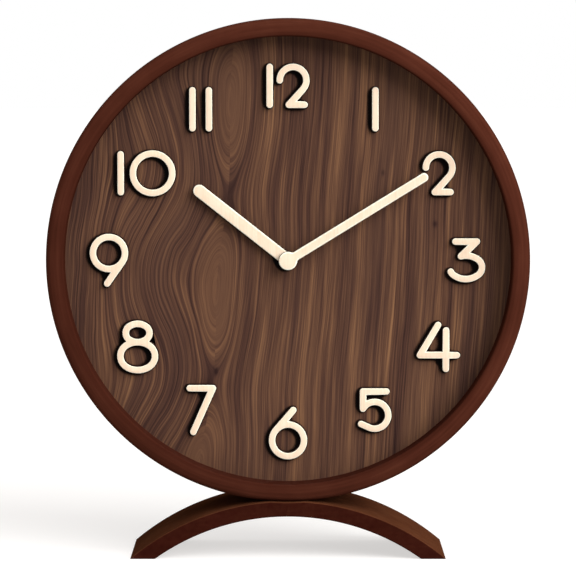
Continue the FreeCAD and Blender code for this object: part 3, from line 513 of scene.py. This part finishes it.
def makePine():
    material, tree, place, shader = newMaterial("pineBlock", Roughness=0.7, Specular_IOR_Level=0.2)
    grain = useGroup(tree, woodFibre, Vector=place, Across=1200.0, Along=60.0, Pores=0.4)
    colour = tree.ramp(grain.outputs["Fibre"], [(0.3, linear(176, 138, 92)), (0.65, linear(214, 182, 134))])
    colour = tree.mix(tree.times(grain.outputs["Pore"], 0.4), colour, linear(120, 86, 52))
    tree.give(shader, "Base Color", colour)
    tree.give(shader, "Normal", tree.bump(grain.outputs["Fibre"], 0.1, 0.0003))
    return material


print("materials")
walnutVeneer = makeWalnut()
stainedRing = makeRingStain()
stainedFoot = makeFootStain()
mapleFace = makeMapleFace()
mapleEdge = makeMapleEdge()
scorchedEdge = makeScorch()
pineBlock = makePine()
plain = {name: makePlain(name, linear(*dark), linear(*light), *rest)
         for name, (dark, light, *rest) in stock.items()}


jacket = {
    "bandShare": 0.70,
    "bandEdge": 0.0002,
    "bareEnd": 0.00125,
    "bands": ((linear(20, 20, 22), linear(34, 34, 36)), (linear(176, 112, 62), linear(206, 140, 84))),
}


def makeJacket():
    # battery sleeve: black body, coppery band towards the raised end
    material, tree, place, shader = newMaterial("batteryJacket", Roughness=0.3, Coat_Weight=0.4,
                                                Coat_Roughness=0.15)
    low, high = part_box("battery_cell")
    x = tree.split(place)[0]
    bandStart = low.x + (high.x - low.x) * jacket["bandShare"]
    cut = tree.span(x, bandStart, bandStart + jacket["bandEdge"])
    cloud = tree.noise(place, 600.0, 3.0, 0.6)
    black, copper = (tree.ramp(cloud, [(0.3, deep), (0.7, pale)]) for deep, pale in jacket["bands"])
    colour = tree.mix(cut, black, copper)
    metal = tree.span(x, high.x - jacket["bareEnd"], high.x - jacket["bareEnd"] + 0.00005)
    colour = tree.mix(metal, colour, linear(200, 198, 190))
    tree.give(shader, "Base Color", colour)
    tree.give(shader, "Metallic", metal)
    return material


batteryJacket = makeJacket()


# Geometry Nodes

def geometryTree(name, inputs):
    shape = ("Geometry", "NodeSocketGeometry")
    return newGroup(name, [(*shape, None), *inputs], [shape], "GeometryNodeTree")


def grown(name, holder, group, values):
    # runs a node tree on holder and leaves a plain mesh object called name
    scene.collection.objects.link(holder)
    modifier = holder.modifiers.new("grow", "NODES")
    modifier.node_group = group
    for item in group.interface.items_tree:
        if item.item_type == "SOCKET" and item.in_out == "INPUT" and item.name in values:
            modifier[item.identifier] = values[item.name]
    bpy.context.view_layer.update()
    depsgraph = bpy.context.evaluated_depsgraph_get()
    mesh = bpy.data.meshes.new_from_object(holder.evaluated_get(depsgraph))
    outline = holder.data
    bpy.data.objects.remove(holder)
    bpy.data.curves.remove(outline)
    mesh.name = name
    piece = bpy.data.objects.new(name, mesh)
    scene.collection.objects.link(piece)
    return piece


def profileCurve(name, points, closed=True):
    # an outline for the lathe, radius along X and depth along Y; an open one ends on the axis
    curve = bpy.data.curves.new(name, "CURVE")
    curve.dimensions = "3D"
    spline = curve.splines.new("POLY")
    spline.points.add(len(points) - 1)
    for point, (radius, depth) in zip(spline.points, points):
        point.co = (radius, depth, 0.0, 1.0)
    spline.use_cyclic_u = closed
    return bpy.data.objects.new(name, curve)


def addLathe(tree, profile, segments, core):
    # sweeps the outline once round the front-to-back axis through the origin
    circle = tree.add("GeometryNodeCurvePrimitiveCircle", {"Resolution": segments, "Radius": core})
    swept = tree.add("GeometryNodeCurveToMesh", {"Curve": circle.outputs["Curve"], "Profile Curve": profile})
    stood = tree.add("GeometryNodeTransform", {"Geometry": swept.outputs["Mesh"], "Rotation": (math.pi / 2, 0, 0)})
    joined = tree.add("GeometryNodeMergeByDistance", {"Geometry": stood.outputs["Geometry"], "Distance": 1e-6})
    return joined.outputs["Geometry"]


def toCentre(tree, start, geometry):
    moved = tree.add("GeometryNodeTransform", {"Geometry": geometry, "Translation": start.outputs["Centre"]})
    return moved.outputs["Geometry"]


def finishTree(tree, start, end, geometry):
    whole = tree.add("GeometryNodeRealizeInstances", {"Geometry": geometry})
    done = tree.add("GeometryNodeSetMaterial", {"Geometry": whole.outputs["Geometry"],
                                                "Material": start.outputs["Finish"]})
    tree.give(end, "Geometry", done.outputs["Geometry"])


def buildSpinTree():
    # a turned part
    group, tree, start, end = geometryTree(
        "turnedOnLathe",
        [("Segments", "NodeSocketInt", 256), ("Core", "NodeSocketFloat", 0.001),
         ("Centre", "NodeSocketVector", None), ("Finish", "NodeSocketMaterial", None)])
    turned = addLathe(tree, start.outputs["Geometry"], start.outputs["Segments"], start.outputs["Core"])
    finishTree(tree, start, end, toCentre(tree, start, turned))
    return group


def buildFluteTree():
    # a turned part with round flutes cut along its rim
    group, tree, start, end = geometryTree(
        "flutedOnLathe",
        [("Segments", "NodeSocketInt", 192), ("Core", "NodeSocketFloat", 0.001),
         ("Centre", "NodeSocketVector", None), ("Flutes", "NodeSocketFloat", 24.0),
         ("Depth", "NodeSocketFloat", 0.0003), ("Rim", "NodeSocketFloat", 0.005),
         ("Finish", "NodeSocketMaterial", None)])
    turned = addLathe(tree, start.outputs["Geometry"], start.outputs["Segments"], start.outputs["Core"])
    place = tree.add("GeometryNodeInputPosition").outputs["Position"]
    x, y, z = tree.split(place)
    angle = tree.math("ARCTAN2", z, x)
    radius = tree.length(x, z)
    wave = tree.math("COSINE", tree.times(angle, start.outputs["Flutes"]))
    cut = tree.times(tree.math("POWER", tree.times(tree.plus(wave, 1.0), 0.5), 2.0),
                    start.outputs["Depth"])
    cut = tree.times(cut, tree.math("GREATER_THAN", radius, start.outputs["Rim"]))
    share = tree.math("DIVIDE", cut, tree.math("MAXIMUM", radius, 0.0001))
    inward = tree.join(tree.times(x, tree.times(share, -1.0)), 0.0,
                       tree.times(z, tree.times(share, -1.0)))
    shaped = tree.add("GeometryNodeSetPosition", {"Geometry": turned, "Offset": inward})
    finishTree(tree, start, end, toCentre(tree, start, shaped.outputs["Geometry"]))
    return group


def buildScrewTree():
    # a turned screw with a crossed recess, put at even steps on a ring and left at different turns
    group, tree, start, end = geometryTree(
        "screwsOnRing",
        [("Segments", "NodeSocketInt", 48), ("Core", "NodeSocketFloat", 0.001), ("Count", "NodeSocketInt", 4),
         ("Ring Radius", "NodeSocketFloat", 0.09), ("First Angle", "NodeSocketFloat", 0.0),
         ("Centre", "NodeSocketVector", None), ("Recess", "NodeSocketVector", (0.0033, 0.0018, 0.0007)),
         ("Head Back", "NodeSocketFloat", 0.0), ("Turn Each", "NodeSocketFloat", 1.1),
         ("Finish", "NodeSocketMaterial", None)])
    turned = addLathe(tree, start.outputs["Geometry"], start.outputs["Segments"], start.outputs["Core"])
    slot = tree.add("GeometryNodeMeshCube", {"Size": start.outputs["Recess"]})
    level = tree.join(0.0, start.outputs["Head Back"], 0.0)
    recessed = turned
    for angle in (0.0, math.pi / 2):
        cutter = tree.add("GeometryNodeTransform", {"Geometry": slot.outputs["Mesh"], "Translation": level,
                                                    "Rotation": (0, angle, 0)})
        step = tree.add("GeometryNodeMeshBoolean", {"Mesh 1": recessed, "Mesh 2": cutter.outputs["Geometry"]},
                        operation="DIFFERENCE", solver="EXACT")
        closed = tree.add("GeometryNodeMergeByDistance", {"Geometry": step.outputs["Mesh"], "Distance": 2e-6})
        recessed = closed.outputs["Geometry"]
    index = tree.add("GeometryNodeInputIndex").outputs[0]
    share = tree.math("DIVIDE", tree.times(index, 2 * math.pi), start.outputs["Count"])
    angle = tree.plus(share, start.outputs["First Angle"])
    spot = tree.join(tree.times(tree.math("COSINE", angle), start.outputs["Ring Radius"]), 0.0,
                     tree.times(tree.math("SINE", angle), start.outputs["Ring Radius"]))
    points = tree.add("GeometryNodePoints", {"Count": start.outputs["Count"], "Position": spot})
    stood = toCentre(tree, start, points.outputs[0])
    spin = tree.join(0.0, tree.times(index, start.outputs["Turn Each"]), 0.0)
    placed = tree.add("GeometryNodeInstanceOnPoints", {"Points": stood, "Instance": recessed,
                                                       "Rotation": spin})
    finishTree(tree, start, end, placed.outputs["Instances"])
    return group


def buildCoilTree():
    # one layer of round wire over a filled core, wound along the height
    group, tree, start, end = geometryTree(
        "woundWire",
        [("Turns", "NodeSocketFloat", 90.0), ("Steps", "NodeSocketInt", 2400),
         ("Radius", "NodeSocketFloat", 0.0025), ("Wire", "NodeSocketFloat", 0.0001),
         ("Length", "NodeSocketFloat", 0.021),
         ("Centre", "NodeSocketVector", None), ("Finish", "NodeSocketMaterial", None)])
    spiral = tree.add("GeometryNodeCurveSpiral", {"Resolution": 24, "Rotations": start.outputs["Turns"],
                                                  "Start Radius": start.outputs["Radius"],
                                                  "End Radius": start.outputs["Radius"],
                                                  "Height": start.outputs["Length"]})
    even = tree.add("GeometryNodeResampleCurve", {"Curve": spiral.outputs["Curve"],
                                                  "Count": start.outputs["Steps"]})
    wire = tree.add("GeometryNodeCurvePrimitiveCircle", {"Resolution": 6, "Radius": start.outputs["Wire"]})
    swept = tree.add("GeometryNodeCurveToMesh", {"Curve": even.outputs["Curve"],
                                                 "Profile Curve": wire.outputs["Curve"], "Fill Caps": True})
    core = tree.add("GeometryNodeMeshCylinder", {"Vertices": 64, "Radius": start.outputs["Radius"],
                                                 "Depth": start.outputs["Length"]})
    half = tree.join(0.0, 0.0, tree.times(start.outputs["Length"], 0.5))
    raised = tree.add("GeometryNodeTransform", {"Geometry": core.outputs["Mesh"], "Translation": half})
    both = tree.add("GeometryNodeJoinGeometry")
    tree.tree.links.new(swept.outputs["Mesh"], both.inputs["Geometry"])
    tree.tree.links.new(raised.outputs["Geometry"], both.inputs["Geometry"])
    finishTree(tree, start, end, toCentre(tree, start, both.outputs["Geometry"]))
    return group


spinTree = buildSpinTree()
fluteTree = buildFluteTree()
screwTree = buildScrewTree()
coilTree = buildCoilTree()


def meshObject(name, mesh, *materials):
    # turns a bmesh into an object with these material slots
    data = bpy.data.meshes.new(name)
    mesh.to_mesh(data)
    mesh.free()
    for material in materials:
        data.materials.append(material)
    piece = bpy.data.objects.new(name, data)
    scene.collection.objects.link(piece)
    return piece


def arcPoints(centre, radius, first, last, steps):
    # points on an arc from one angle to another, in degrees
    made = []
    for step in range(steps + 1):
        angle = math.radians(first + (last - first) * step / steps)
        made.append((centre[0] + radius * math.cos(angle), centre[1] + radius * math.sin(angle)))
    return made


def finishShading(piece, angle):
    mesh = piece.data
    mesh.polygons.foreach_set("use_smooth", [True] * len(mesh.polygons))
    mesh.set_sharp_from_angle(angle=math.radians(angle))
    mesh.update()


# The turned ring of the case

ring = {
    "radius": 0.1016,
    "lip": 0.0076,
    "crest": -0.025,
    "back": 0.019,
    "crownDrop": 0.0009,
    "shoulder": (0.0026, 0.0034),
    "innerSoft": 0.0008,
    "rearSoft": 0.0009,
    "boardSeat": (0.0986, 0.015),
    "seatChamfer": 0.0002,
    "bore": 0.0965,
    "segments": 288,
    "core": 0.001,
}


def ringProfile():
    # radius and depth, once round the section; the front is at the low end of Y
    lip = ring["radius"] - ring["lip"]
    soft = ring["innerSoft"]
    run, drop = ring["shoulder"]
    crownRun = ring["lip"] - soft - run
    crownRadius = (crownRun ** 2 + ring["crownDrop"] ** 2) / (2 * ring["crownDrop"])
    crownTurn = math.degrees(math.asin(crownRun / crownRadius))
    points = [(ring["bore"], ring["boardSeat"][1]), (ring["bore"], dialFront), (lip, dialFront)]
    points += arcPoints((lip + soft, ring["crest"] + soft), soft, 180, 270, 6)
    points += arcPoints((lip + soft, ring["crest"] + crownRadius), crownRadius, 270, 270 + crownTurn, 6)[1:]
    crownEnd = points[-1]
    closing = (run ** 2 + drop ** 2) / (2 * run)
    closingTurn = math.degrees(math.asin(drop / closing)) if drop < closing else 90
    points += arcPoints((ring["radius"] - closing, crownEnd[1] + drop), closing, -closingTurn, 0, 10)[1:]
    rear, cut, seat = ring["rearSoft"], ring["seatChamfer"], ring["boardSeat"]
    points += arcPoints((ring["radius"] - rear, ring["back"] - rear), rear, 0, 90, 5)
    points += [(seat[0] + cut, ring["back"]), (seat[0], ring["back"] - cut), seat]
    return [(radius - ring["core"], depth) for radius, depth in points]


def buildRing():
    holder = profileCurve("ringProfile", ringProfile())
    piece = grown("caseRing", holder, spinTree, {
        "Segments": ring["segments"], "Core": ring["core"], "Centre": (0.0, 0.0, hubHeight),
        "Finish": stainedRing})
    finishShading(piece, 40)
    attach(piece, "clock_case")
    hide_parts("case_ring")


print("case ring")
buildRing()


# The arched foot: two arcs cut off level at the table, saddled where the ring sits

foot = {
    "outer": 0.103,
    "thick": 0.0065,
    "rise": 0.0245,
    "front": -0.025,
    "back": 0.025,
    "steps": 160,
    "arris": 0.0003,
}


def buildFoot():
    outer, inner = foot["outer"], foot["outer"] - foot["thick"]
    low = foot["rise"] - outer
    ends = [math.acos(-low / radius) for radius in (outer, inner)]
    mesh = bmesh.new()
    rows = []
    for step in range(foot["steps"] + 1):
        share = 2 * step / foot["steps"] - 1
        section = []
        for radius, end in ((outer, ends[0]), (inner, ends[1])):
            x = radius * math.sin(share * end)
            z = low + radius * math.cos(share * end)
            if radius == outer and math.hypot(x, hubHeight - z) < ring["radius"]:
                z = hubHeight - math.sqrt(ring["radius"] ** 2 - x * x)
            section.append((x, z))
        (ox, oz), (ix, iz) = section
        rows.append([mesh.verts.new(place) for place in (
            (ox, foot["front"], oz), (ox, foot["back"], oz), (ix, foot["back"], iz), (ix, foot["front"], iz))])
    for first, second in zip(rows, rows[1:]):
        for side in range(4):
            other = (side + 1) % 4
            mesh.faces.new((first[side], first[other], second[other], second[side]))
    mesh.faces.new(rows[0])
    mesh.faces.new(rows[-1][::-1])
    bmesh.ops.recalc_face_normals(mesh, faces=mesh.faces[:])
    piece = meshObject("archFoot", mesh, stainedFoot)
    ease = piece.modifiers.new("easedArris", "BEVEL")
    ease.width = foot["arris"]
    ease.segments = 3
    ease.limit_method = "ANGLE"
    ease.angle_limit = math.radians(35)
    finishShading(piece, 40)
    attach(piece, "clock_case")
    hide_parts("arch_foot")


print("foot")
buildFoot()


# Numerals and hands: the CAD outline with an eased front edge and a slightly flared, scorched side

cutout = {
    "ease": 0.00034,
    "drawnIn": 0.00013,
    "flare": 0.00022,
    "handEase": 0.00028,
    "handFlare": 0.00012,
    "skin": 0.00005,
}


def mergedCopy(node):
    mesh = bmesh.new()
    mesh.from_mesh(nodes[node].data)
    bmesh.ops.remove_doubles(mesh, verts=mesh.verts[:], dist=1e-6)
    bmesh.ops.dissolve_limit(mesh, angle_limit=math.radians(0.6), verts=mesh.verts[:], edges=mesh.edges[:],
                             delimit={"NORMAL"})
    bmesh.ops.recalc_face_normals(mesh, faces=mesh.faces[:])
    return mesh


def buildCutout(name, node, body, ease, flare):
    mesh = mergedCopy(node)
    low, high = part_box(node)
    mesh.normal_update()
    # the laser's draft: each side wall stands further out at the back than at the front
    for vertex in mesh.verts:
        if vertex.co.y > high.y - cutout["skin"]:
            step = flare
        elif vertex.co.y < low.y + cutout["skin"]:
            step = -cutout["drawnIn"]
        else:
            continue
        out = Vector((0, 0, 0))
        for face in vertex.link_faces:
            if abs(face.normal.y) < 0.5:
                out += face.normal
        if out.length > 1e-6:
            out.normalize()
            vertex.co.x += out.x * step
            vertex.co.z += out.z * step
    front = [face for face in mesh.faces
             if face.normal.y < -0.9 and face.calc_center_median().y < low.y + cutout["skin"]]
    rim = {edge for face in front for edge in face.edges
           if any(abs(other.normal.y) < 0.9 for other in edge.link_faces)}
    bmesh.ops.bevel(mesh, geom=list(rim), offset=ease, segments=3, profile=0.5, affect="EDGES",
                    clamp_overlap=True)
    mesh.normal_update()
    for face in mesh.faces:
        if face.normal.y < -0.995:
            face.material_index = 0
        elif face.normal.y < -0.35:
            face.material_index = 1
        else:
            face.material_index = 2
    piece = meshObject(name, mesh, mapleFace, mapleEdge, scorchedEdge)
    finishShading(piece, 50)
    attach(piece, body)
    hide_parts(node)


print("numerals and hands")
for hour in range(1, 13):
    buildCutout(f"hour{hour:02d}", f"numeral_{hour:02d}", "clock_case", cutout["ease"], cutout["flare"])
buildCutout("hourPointer", "hour_hand", "hour_hand_set", cutout["handEase"], cutout["handFlare"])
buildCutout("minutePointer", "minute_hand", "minute_hand_set", cutout["handEase"], cutout["handFlare"])


# Small turned and wound parts

# the lathe sweeps an outline round a circle of this radius, so it comes off the outline's own radii
smallCore = 0.0004

# shank, flat and recess are shares of the head's radius, point of the shank's, round of the head's height
screws = {
    "shank": 0.46,
    "point": (0.4, 0.1),
    "flat": 0.62,
    "round": 0.62,
    "recess": (1.12, 1.9, 0.23),
    "turnEach": 0.83,
    "boardHead": 0.00294,
    "lugRise": 0.0018,
}


def buildScrews(name, node, body, headRadius, headBack, seat, tip, count, ringRadius, firstAngle):
    rise = (headBack - seat) * screws["round"]
    shank = headRadius * screws["shank"]
    dome = []
    for step in range(9):
        angle = math.radians(90 * step / 8)
        reach = screws["flat"] + (1 - screws["flat"]) * math.cos(angle)
        dome.append((headRadius * reach, headBack - rise + rise * math.sin(angle)))
    blunt, bluntRise = (value * shank for value in screws["point"])
    outline = [(0.0, tip), (blunt, tip + bluntRise), (shank, tip + shank), (shank, seat), (headRadius, seat)]
    outline += dome + [(0.0, headBack)]
    holder = profileCurve(name + "Outline", [(radius - smallCore, depth) for radius, depth in outline], False)
    length, depth, width = (value * headRadius for value in screws["recess"])
    piece = grown(name, holder, screwTree, {
        "Segments": 40, "Core": smallCore, "Count": count, "Ring Radius": ringRadius, "First Angle": firstAngle,
        "Centre": (0.0, 0.0, hubHeight), "Recess": (length, depth, width), "Head Back": headBack,
        "Turn Each": screws["turnEach"], "Finish": plain["zincSteel"]})
    finishShading(piece, 35)
    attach(piece, body)
    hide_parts(node)


def boxOf(node):
    low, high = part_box(node)
    return low, high, (low + high) / 2


print("screws, knob and coil")
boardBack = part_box("back_board")[1].y
screwLow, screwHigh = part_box("board_screws")
boardHead = screws["boardHead"]
buildScrews("boardScrews", "board_screws", "clock_case", boardHead, screwHigh.y, boardBack, screwLow.y, 4,
            (screwHigh.x - boardHead) * math.sqrt(2), math.radians(45))
lugLow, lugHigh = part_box("movement_screws")
lugHead = (lugHigh.z - lugLow.z) / 2
buildScrews("lugScrews", "movement_screws", "clock_case", lugHead, lugHigh.y, lugHigh.y - screws["lugRise"],
            lugLow.y, 2, lugHigh.x - lugHead, 0.0)

knob = {
    "flutes": 36,
    "fluteDepth": 0.00022,
    "segments": 288,
    "soft": 0.0005,
    "dish": 0.0006,
    "dishRim": 0.72,
    "dishFloor": 0.62,
    "flutedFrom": 0.9,
    "socket": 0.0009,
}


def buildKnob():
    low, high, middle = boxOf("setting_knob")
    radius = (high.x - low.x) / 2
    soft, socket = knob["soft"], knob["socket"]
    dish = high.y - knob["dish"]
    outline = [(0.0, middle.y), (socket, middle.y), (socket, low.y), (radius - soft, low.y)]
    outline += arcPoints((radius - soft, low.y + soft), soft, -90, 0, 4)
    outline += arcPoints((radius - soft, high.y - soft), soft, 0, 90, 4)
    outline += [(radius * knob["dishRim"], high.y), (radius * knob["dishFloor"], dish), (0.0, dish)]
    holder = profileCurve("knobOutline", [(reach - smallCore, depth) for reach, depth in outline], False)
    piece = grown("settingKnob", holder, fluteTree, {
        "Segments": knob["segments"], "Core": smallCore, "Centre": (middle.x, 0.0, middle.z),
        "Flutes": knob["flutes"], "Depth": knob["fluteDepth"], "Rim": radius * knob["flutedFrom"],
        "Finish": plain["knobBlack"]})
    finishShading(piece, 35)
    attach(piece, "setting_shaft")
    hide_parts("setting_knob")


coil = {
    "wire": 0.00011,
    "stepsPerTurn": 20,
}


def buildCoil():
    low, high, middle = boxOf("coil_winding")
    wire = coil["wire"]
    radius = (high.x - low.x) / 2 - wire
    length = high.z - low.z - 2 * wire
    turns = math.floor(length / (2 * wire))
    holder = profileCurve("coilHolder", [(0.0, 0.0), (wire, 0.0), (wire, wire)])
    piece = grown("coilWinding", holder, coilTree, {
        "Turns": float(turns), "Steps": turns * coil["stepsPerTurn"], "Radius": radius, "Wire": wire,
        "Length": length, "Centre": (middle.x, middle.y, low.z + wire), "Finish": plain["copperWire"]})
    finishShading(piece, 60)
    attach(piece, "clock_case")
    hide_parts("coil_winding")


buildKnob()
buildCoil()

moulding = {
    "sunk": 0.0001,
    "collar": (0.0067, 0.0075),
    "collarRise": 0.0005,
    "ease": 0.00012,
    "arrowRadius": 0.0093,
    "arrowWidth": 0.0006,
    "arrowRise": 0.0003,
    "arrowHead": 0.0007,
    "arrowTurns": ((25.0, 75.0, 11.0), (155.0, 105.0, -11.0)),
}


def buildCollar():
    # a low ring moulded in the cover round the knob
    middle = boxOf("setting_knob")[2]
    base = boxOf("movement_cover")[1].y - moulding["sunk"]
    top = base + moulding["sunk"] + moulding["collarRise"]
    near, far = moulding["collar"]
    ease = moulding["ease"]
    outline = [(near, base), (far, base), (far, top - ease), (far - ease, top), (near + ease, top),
               (near, top - ease)]
    holder = profileCurve("collarOutline", [(radius - smallCore, depth) for radius, depth in outline])
    piece = grown("knobCollar", holder, spinTree, {
        "Segments": 96, "Core": smallCore, "Centre": (middle.x, 0.0, middle.z),
        "Finish": plain["housingBlack"]})
    finishShading(piece, 35)
    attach(piece, "clock_case")


def buildArrows():
    # raised arrows beside the collar, for both ways of turning
    middle = boxOf("setting_knob")[2]
    base = boxOf("movement_cover")[1].y - moulding["sunk"]
    centre, half = (middle.x, middle.z), moulding["arrowWidth"] / 2
    radius, head = moulding["arrowRadius"], moulding["arrowHead"]
    mesh = bmesh.new()
    for first, last, point in moulding["arrowTurns"]:
        outline = arcPoints(centre, radius + half, first, last, 12)
        for reach, turn in ((radius + half + head, last), (radius, last + point), (radius - half - head, last)):
            outline += arcPoints(centre, reach, turn, turn, 1)[:1]
        outline += arcPoints(centre, radius - half, last, first, 12)
        corners = [mesh.verts.new((x, base, z)) for x, z in outline]
        flat = mesh.faces.new(corners)
        raised = bmesh.ops.extrude_face_region(mesh, geom=[flat])
        for item in raised["geom"]:
            if isinstance(item, bmesh.types.BMVert):
                item.co.y += moulding["sunk"] + moulding["arrowRise"]
    bmesh.ops.triangulate(mesh, faces=mesh.faces[:])
    bmesh.ops.recalc_face_normals(mesh, faces=mesh.faces[:])
    piece = meshObject("turnArrows", mesh, plain["housingBlack"])
    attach(piece, "clock_case")


buildCollar()
buildArrows()


# Finishes for the CAD nodes whose shape is right

finishes = (
    (walnutVeneer, "dial_panel"),
    (pineBlock, "spacer_blocks"),
    (batteryJacket, "battery_cell"),
    (plain["blackHardboard"], "back_board"),
    (plain["zincSteel"], "foot_screws"),
    (plain["housingBlack"], "movement_case", "movement_cover"),
    (plain["whiteNylon"], "setting_arbor", "hour_wheel", "motion_wheel", "centre_wheel", "third_wheel",
     "second_wheel", "intermediate_wheel", "rotor"),
    (plain["turnedBrass"], "cannon_pinion"),
    (plain["brightSteel"], "slip_spring"),
    (plain["magnetGrey"], "rotor_magnet"),
    (plain["siliconSteel"], "stator", "coil_core"),
    (plain["bobbinGreen"], "coil_bobbin"),
    (plain["boardLaminate"], "circuit_board"),
    (plain["blackResin"], "circuit_chip"),
    (plain["nickelPlate"], "quartz_crystal", "positive_contact", "negative_contact"),
)

for material, *names in finishes:
    for name in names:
        nodes[name].data.materials.clear()
        nodes[name].data.materials.append(material)


# Floor, light and camera

stage = {
    "camera": (0.0, -1.225, 0.208),
    "aim": (0.0, -0.025, 0.1146),
    "lens": 179.8,
    "keyFrom": (0.62, -0.58, 0.46),
    "keyStrength": 3.0,
    "keyAngle": 45.0,
    "topFrom": (0.30, -0.45, 0.84),
    "topStrength": 1.25,
    "topAngle": 90.0,
    "fill": 0.33,
    "floorGlow": 0.62,
    "floorTone": 0.5,
    "floorReach": (-6.0, 6.0, 12.0),
}


def seenDirectly(tree):
    # one for what the camera sees, also in metal or through glass, and none for what lights the object
    light = tree.add("ShaderNodeLightPath")
    seen = tree.plus(light.outputs["Is Camera Ray"], light.outputs["Is Glossy Ray"])
    return tree.plus(seen, light.outputs["Is Transmission Ray"], clamp=True)


def buildFloor():
    mesh = bmesh.new()
    left, right, far = stage["floorReach"]
    corners = [mesh.verts.new(place)
               for place in ((left, left, 0), (right, left, 0), (right, far, 0), (left, far, 0))]
    mesh.faces.new(corners)
    material, tree, place, shader = newMaterial("paleFloor", Roughness=0.9, Specular_IOR_Level=0.0)
    tone = stage["floorTone"]
    tree.give(shader, "Base Color", (tone, tone * 0.985, tone * 0.97, 1.0))
    tree.give(shader, "Emission Color", (1.0, 0.975, 0.955, 1.0))
    tree.give(shader, "Emission Strength", tree.times(seenDirectly(tree), stage["floorGlow"]))
    floor = meshObject("floor", mesh, material)


def buildWorld():
    world = bpy.data.worlds.new("studio")
    world.use_nodes = True
    world.node_tree.nodes.clear()
    tree = Tree(world.node_tree)
    strength = tree.plus(tree.times(seenDirectly(tree), 1.0 - stage["fill"]), stage["fill"])
    back = tree.add("ShaderNodeBackground", {"Color": (1, 1, 1, 1), "Strength": strength})
    end = tree.add("ShaderNodeOutputWorld")
    tree.tree.links.new(back.outputs[0], end.inputs["Surface"])
    scene.world = world


def addSun(name, direction, strength, angle):
    sun = bpy.data.lights.new(name, "SUN")
    sun.energy = strength
    sun.angle = math.radians(angle)
    lamp = bpy.data.objects.new(name, sun)
    lamp.rotation_euler = Vector(direction).to_track_quat("Z", "Y").to_euler()
    scene.collection.objects.link(lamp)


def buildLights():
    addSun("key", stage["keyFrom"], stage["keyStrength"], stage["keyAngle"])
    addSun("top", stage["topFrom"], stage["topStrength"], stage["topAngle"])


def buildCamera():
    data = bpy.data.cameras.new("camera")
    data.sensor_width = 36.0
    data.lens = stage["lens"]
    data.clip_end = 50
    camera = bpy.data.objects.new("camera", data)
    camera.location = stage["camera"]
    towards = Vector(stage["aim"]) - Vector(stage["camera"])
    camera.rotation_euler = towards.to_track_quat("-Z", "Y").to_euler()
    scene.collection.objects.link(camera)
    scene.camera = camera


print("stage")
buildFloor()
buildWorld()
buildLights()
buildCamera()
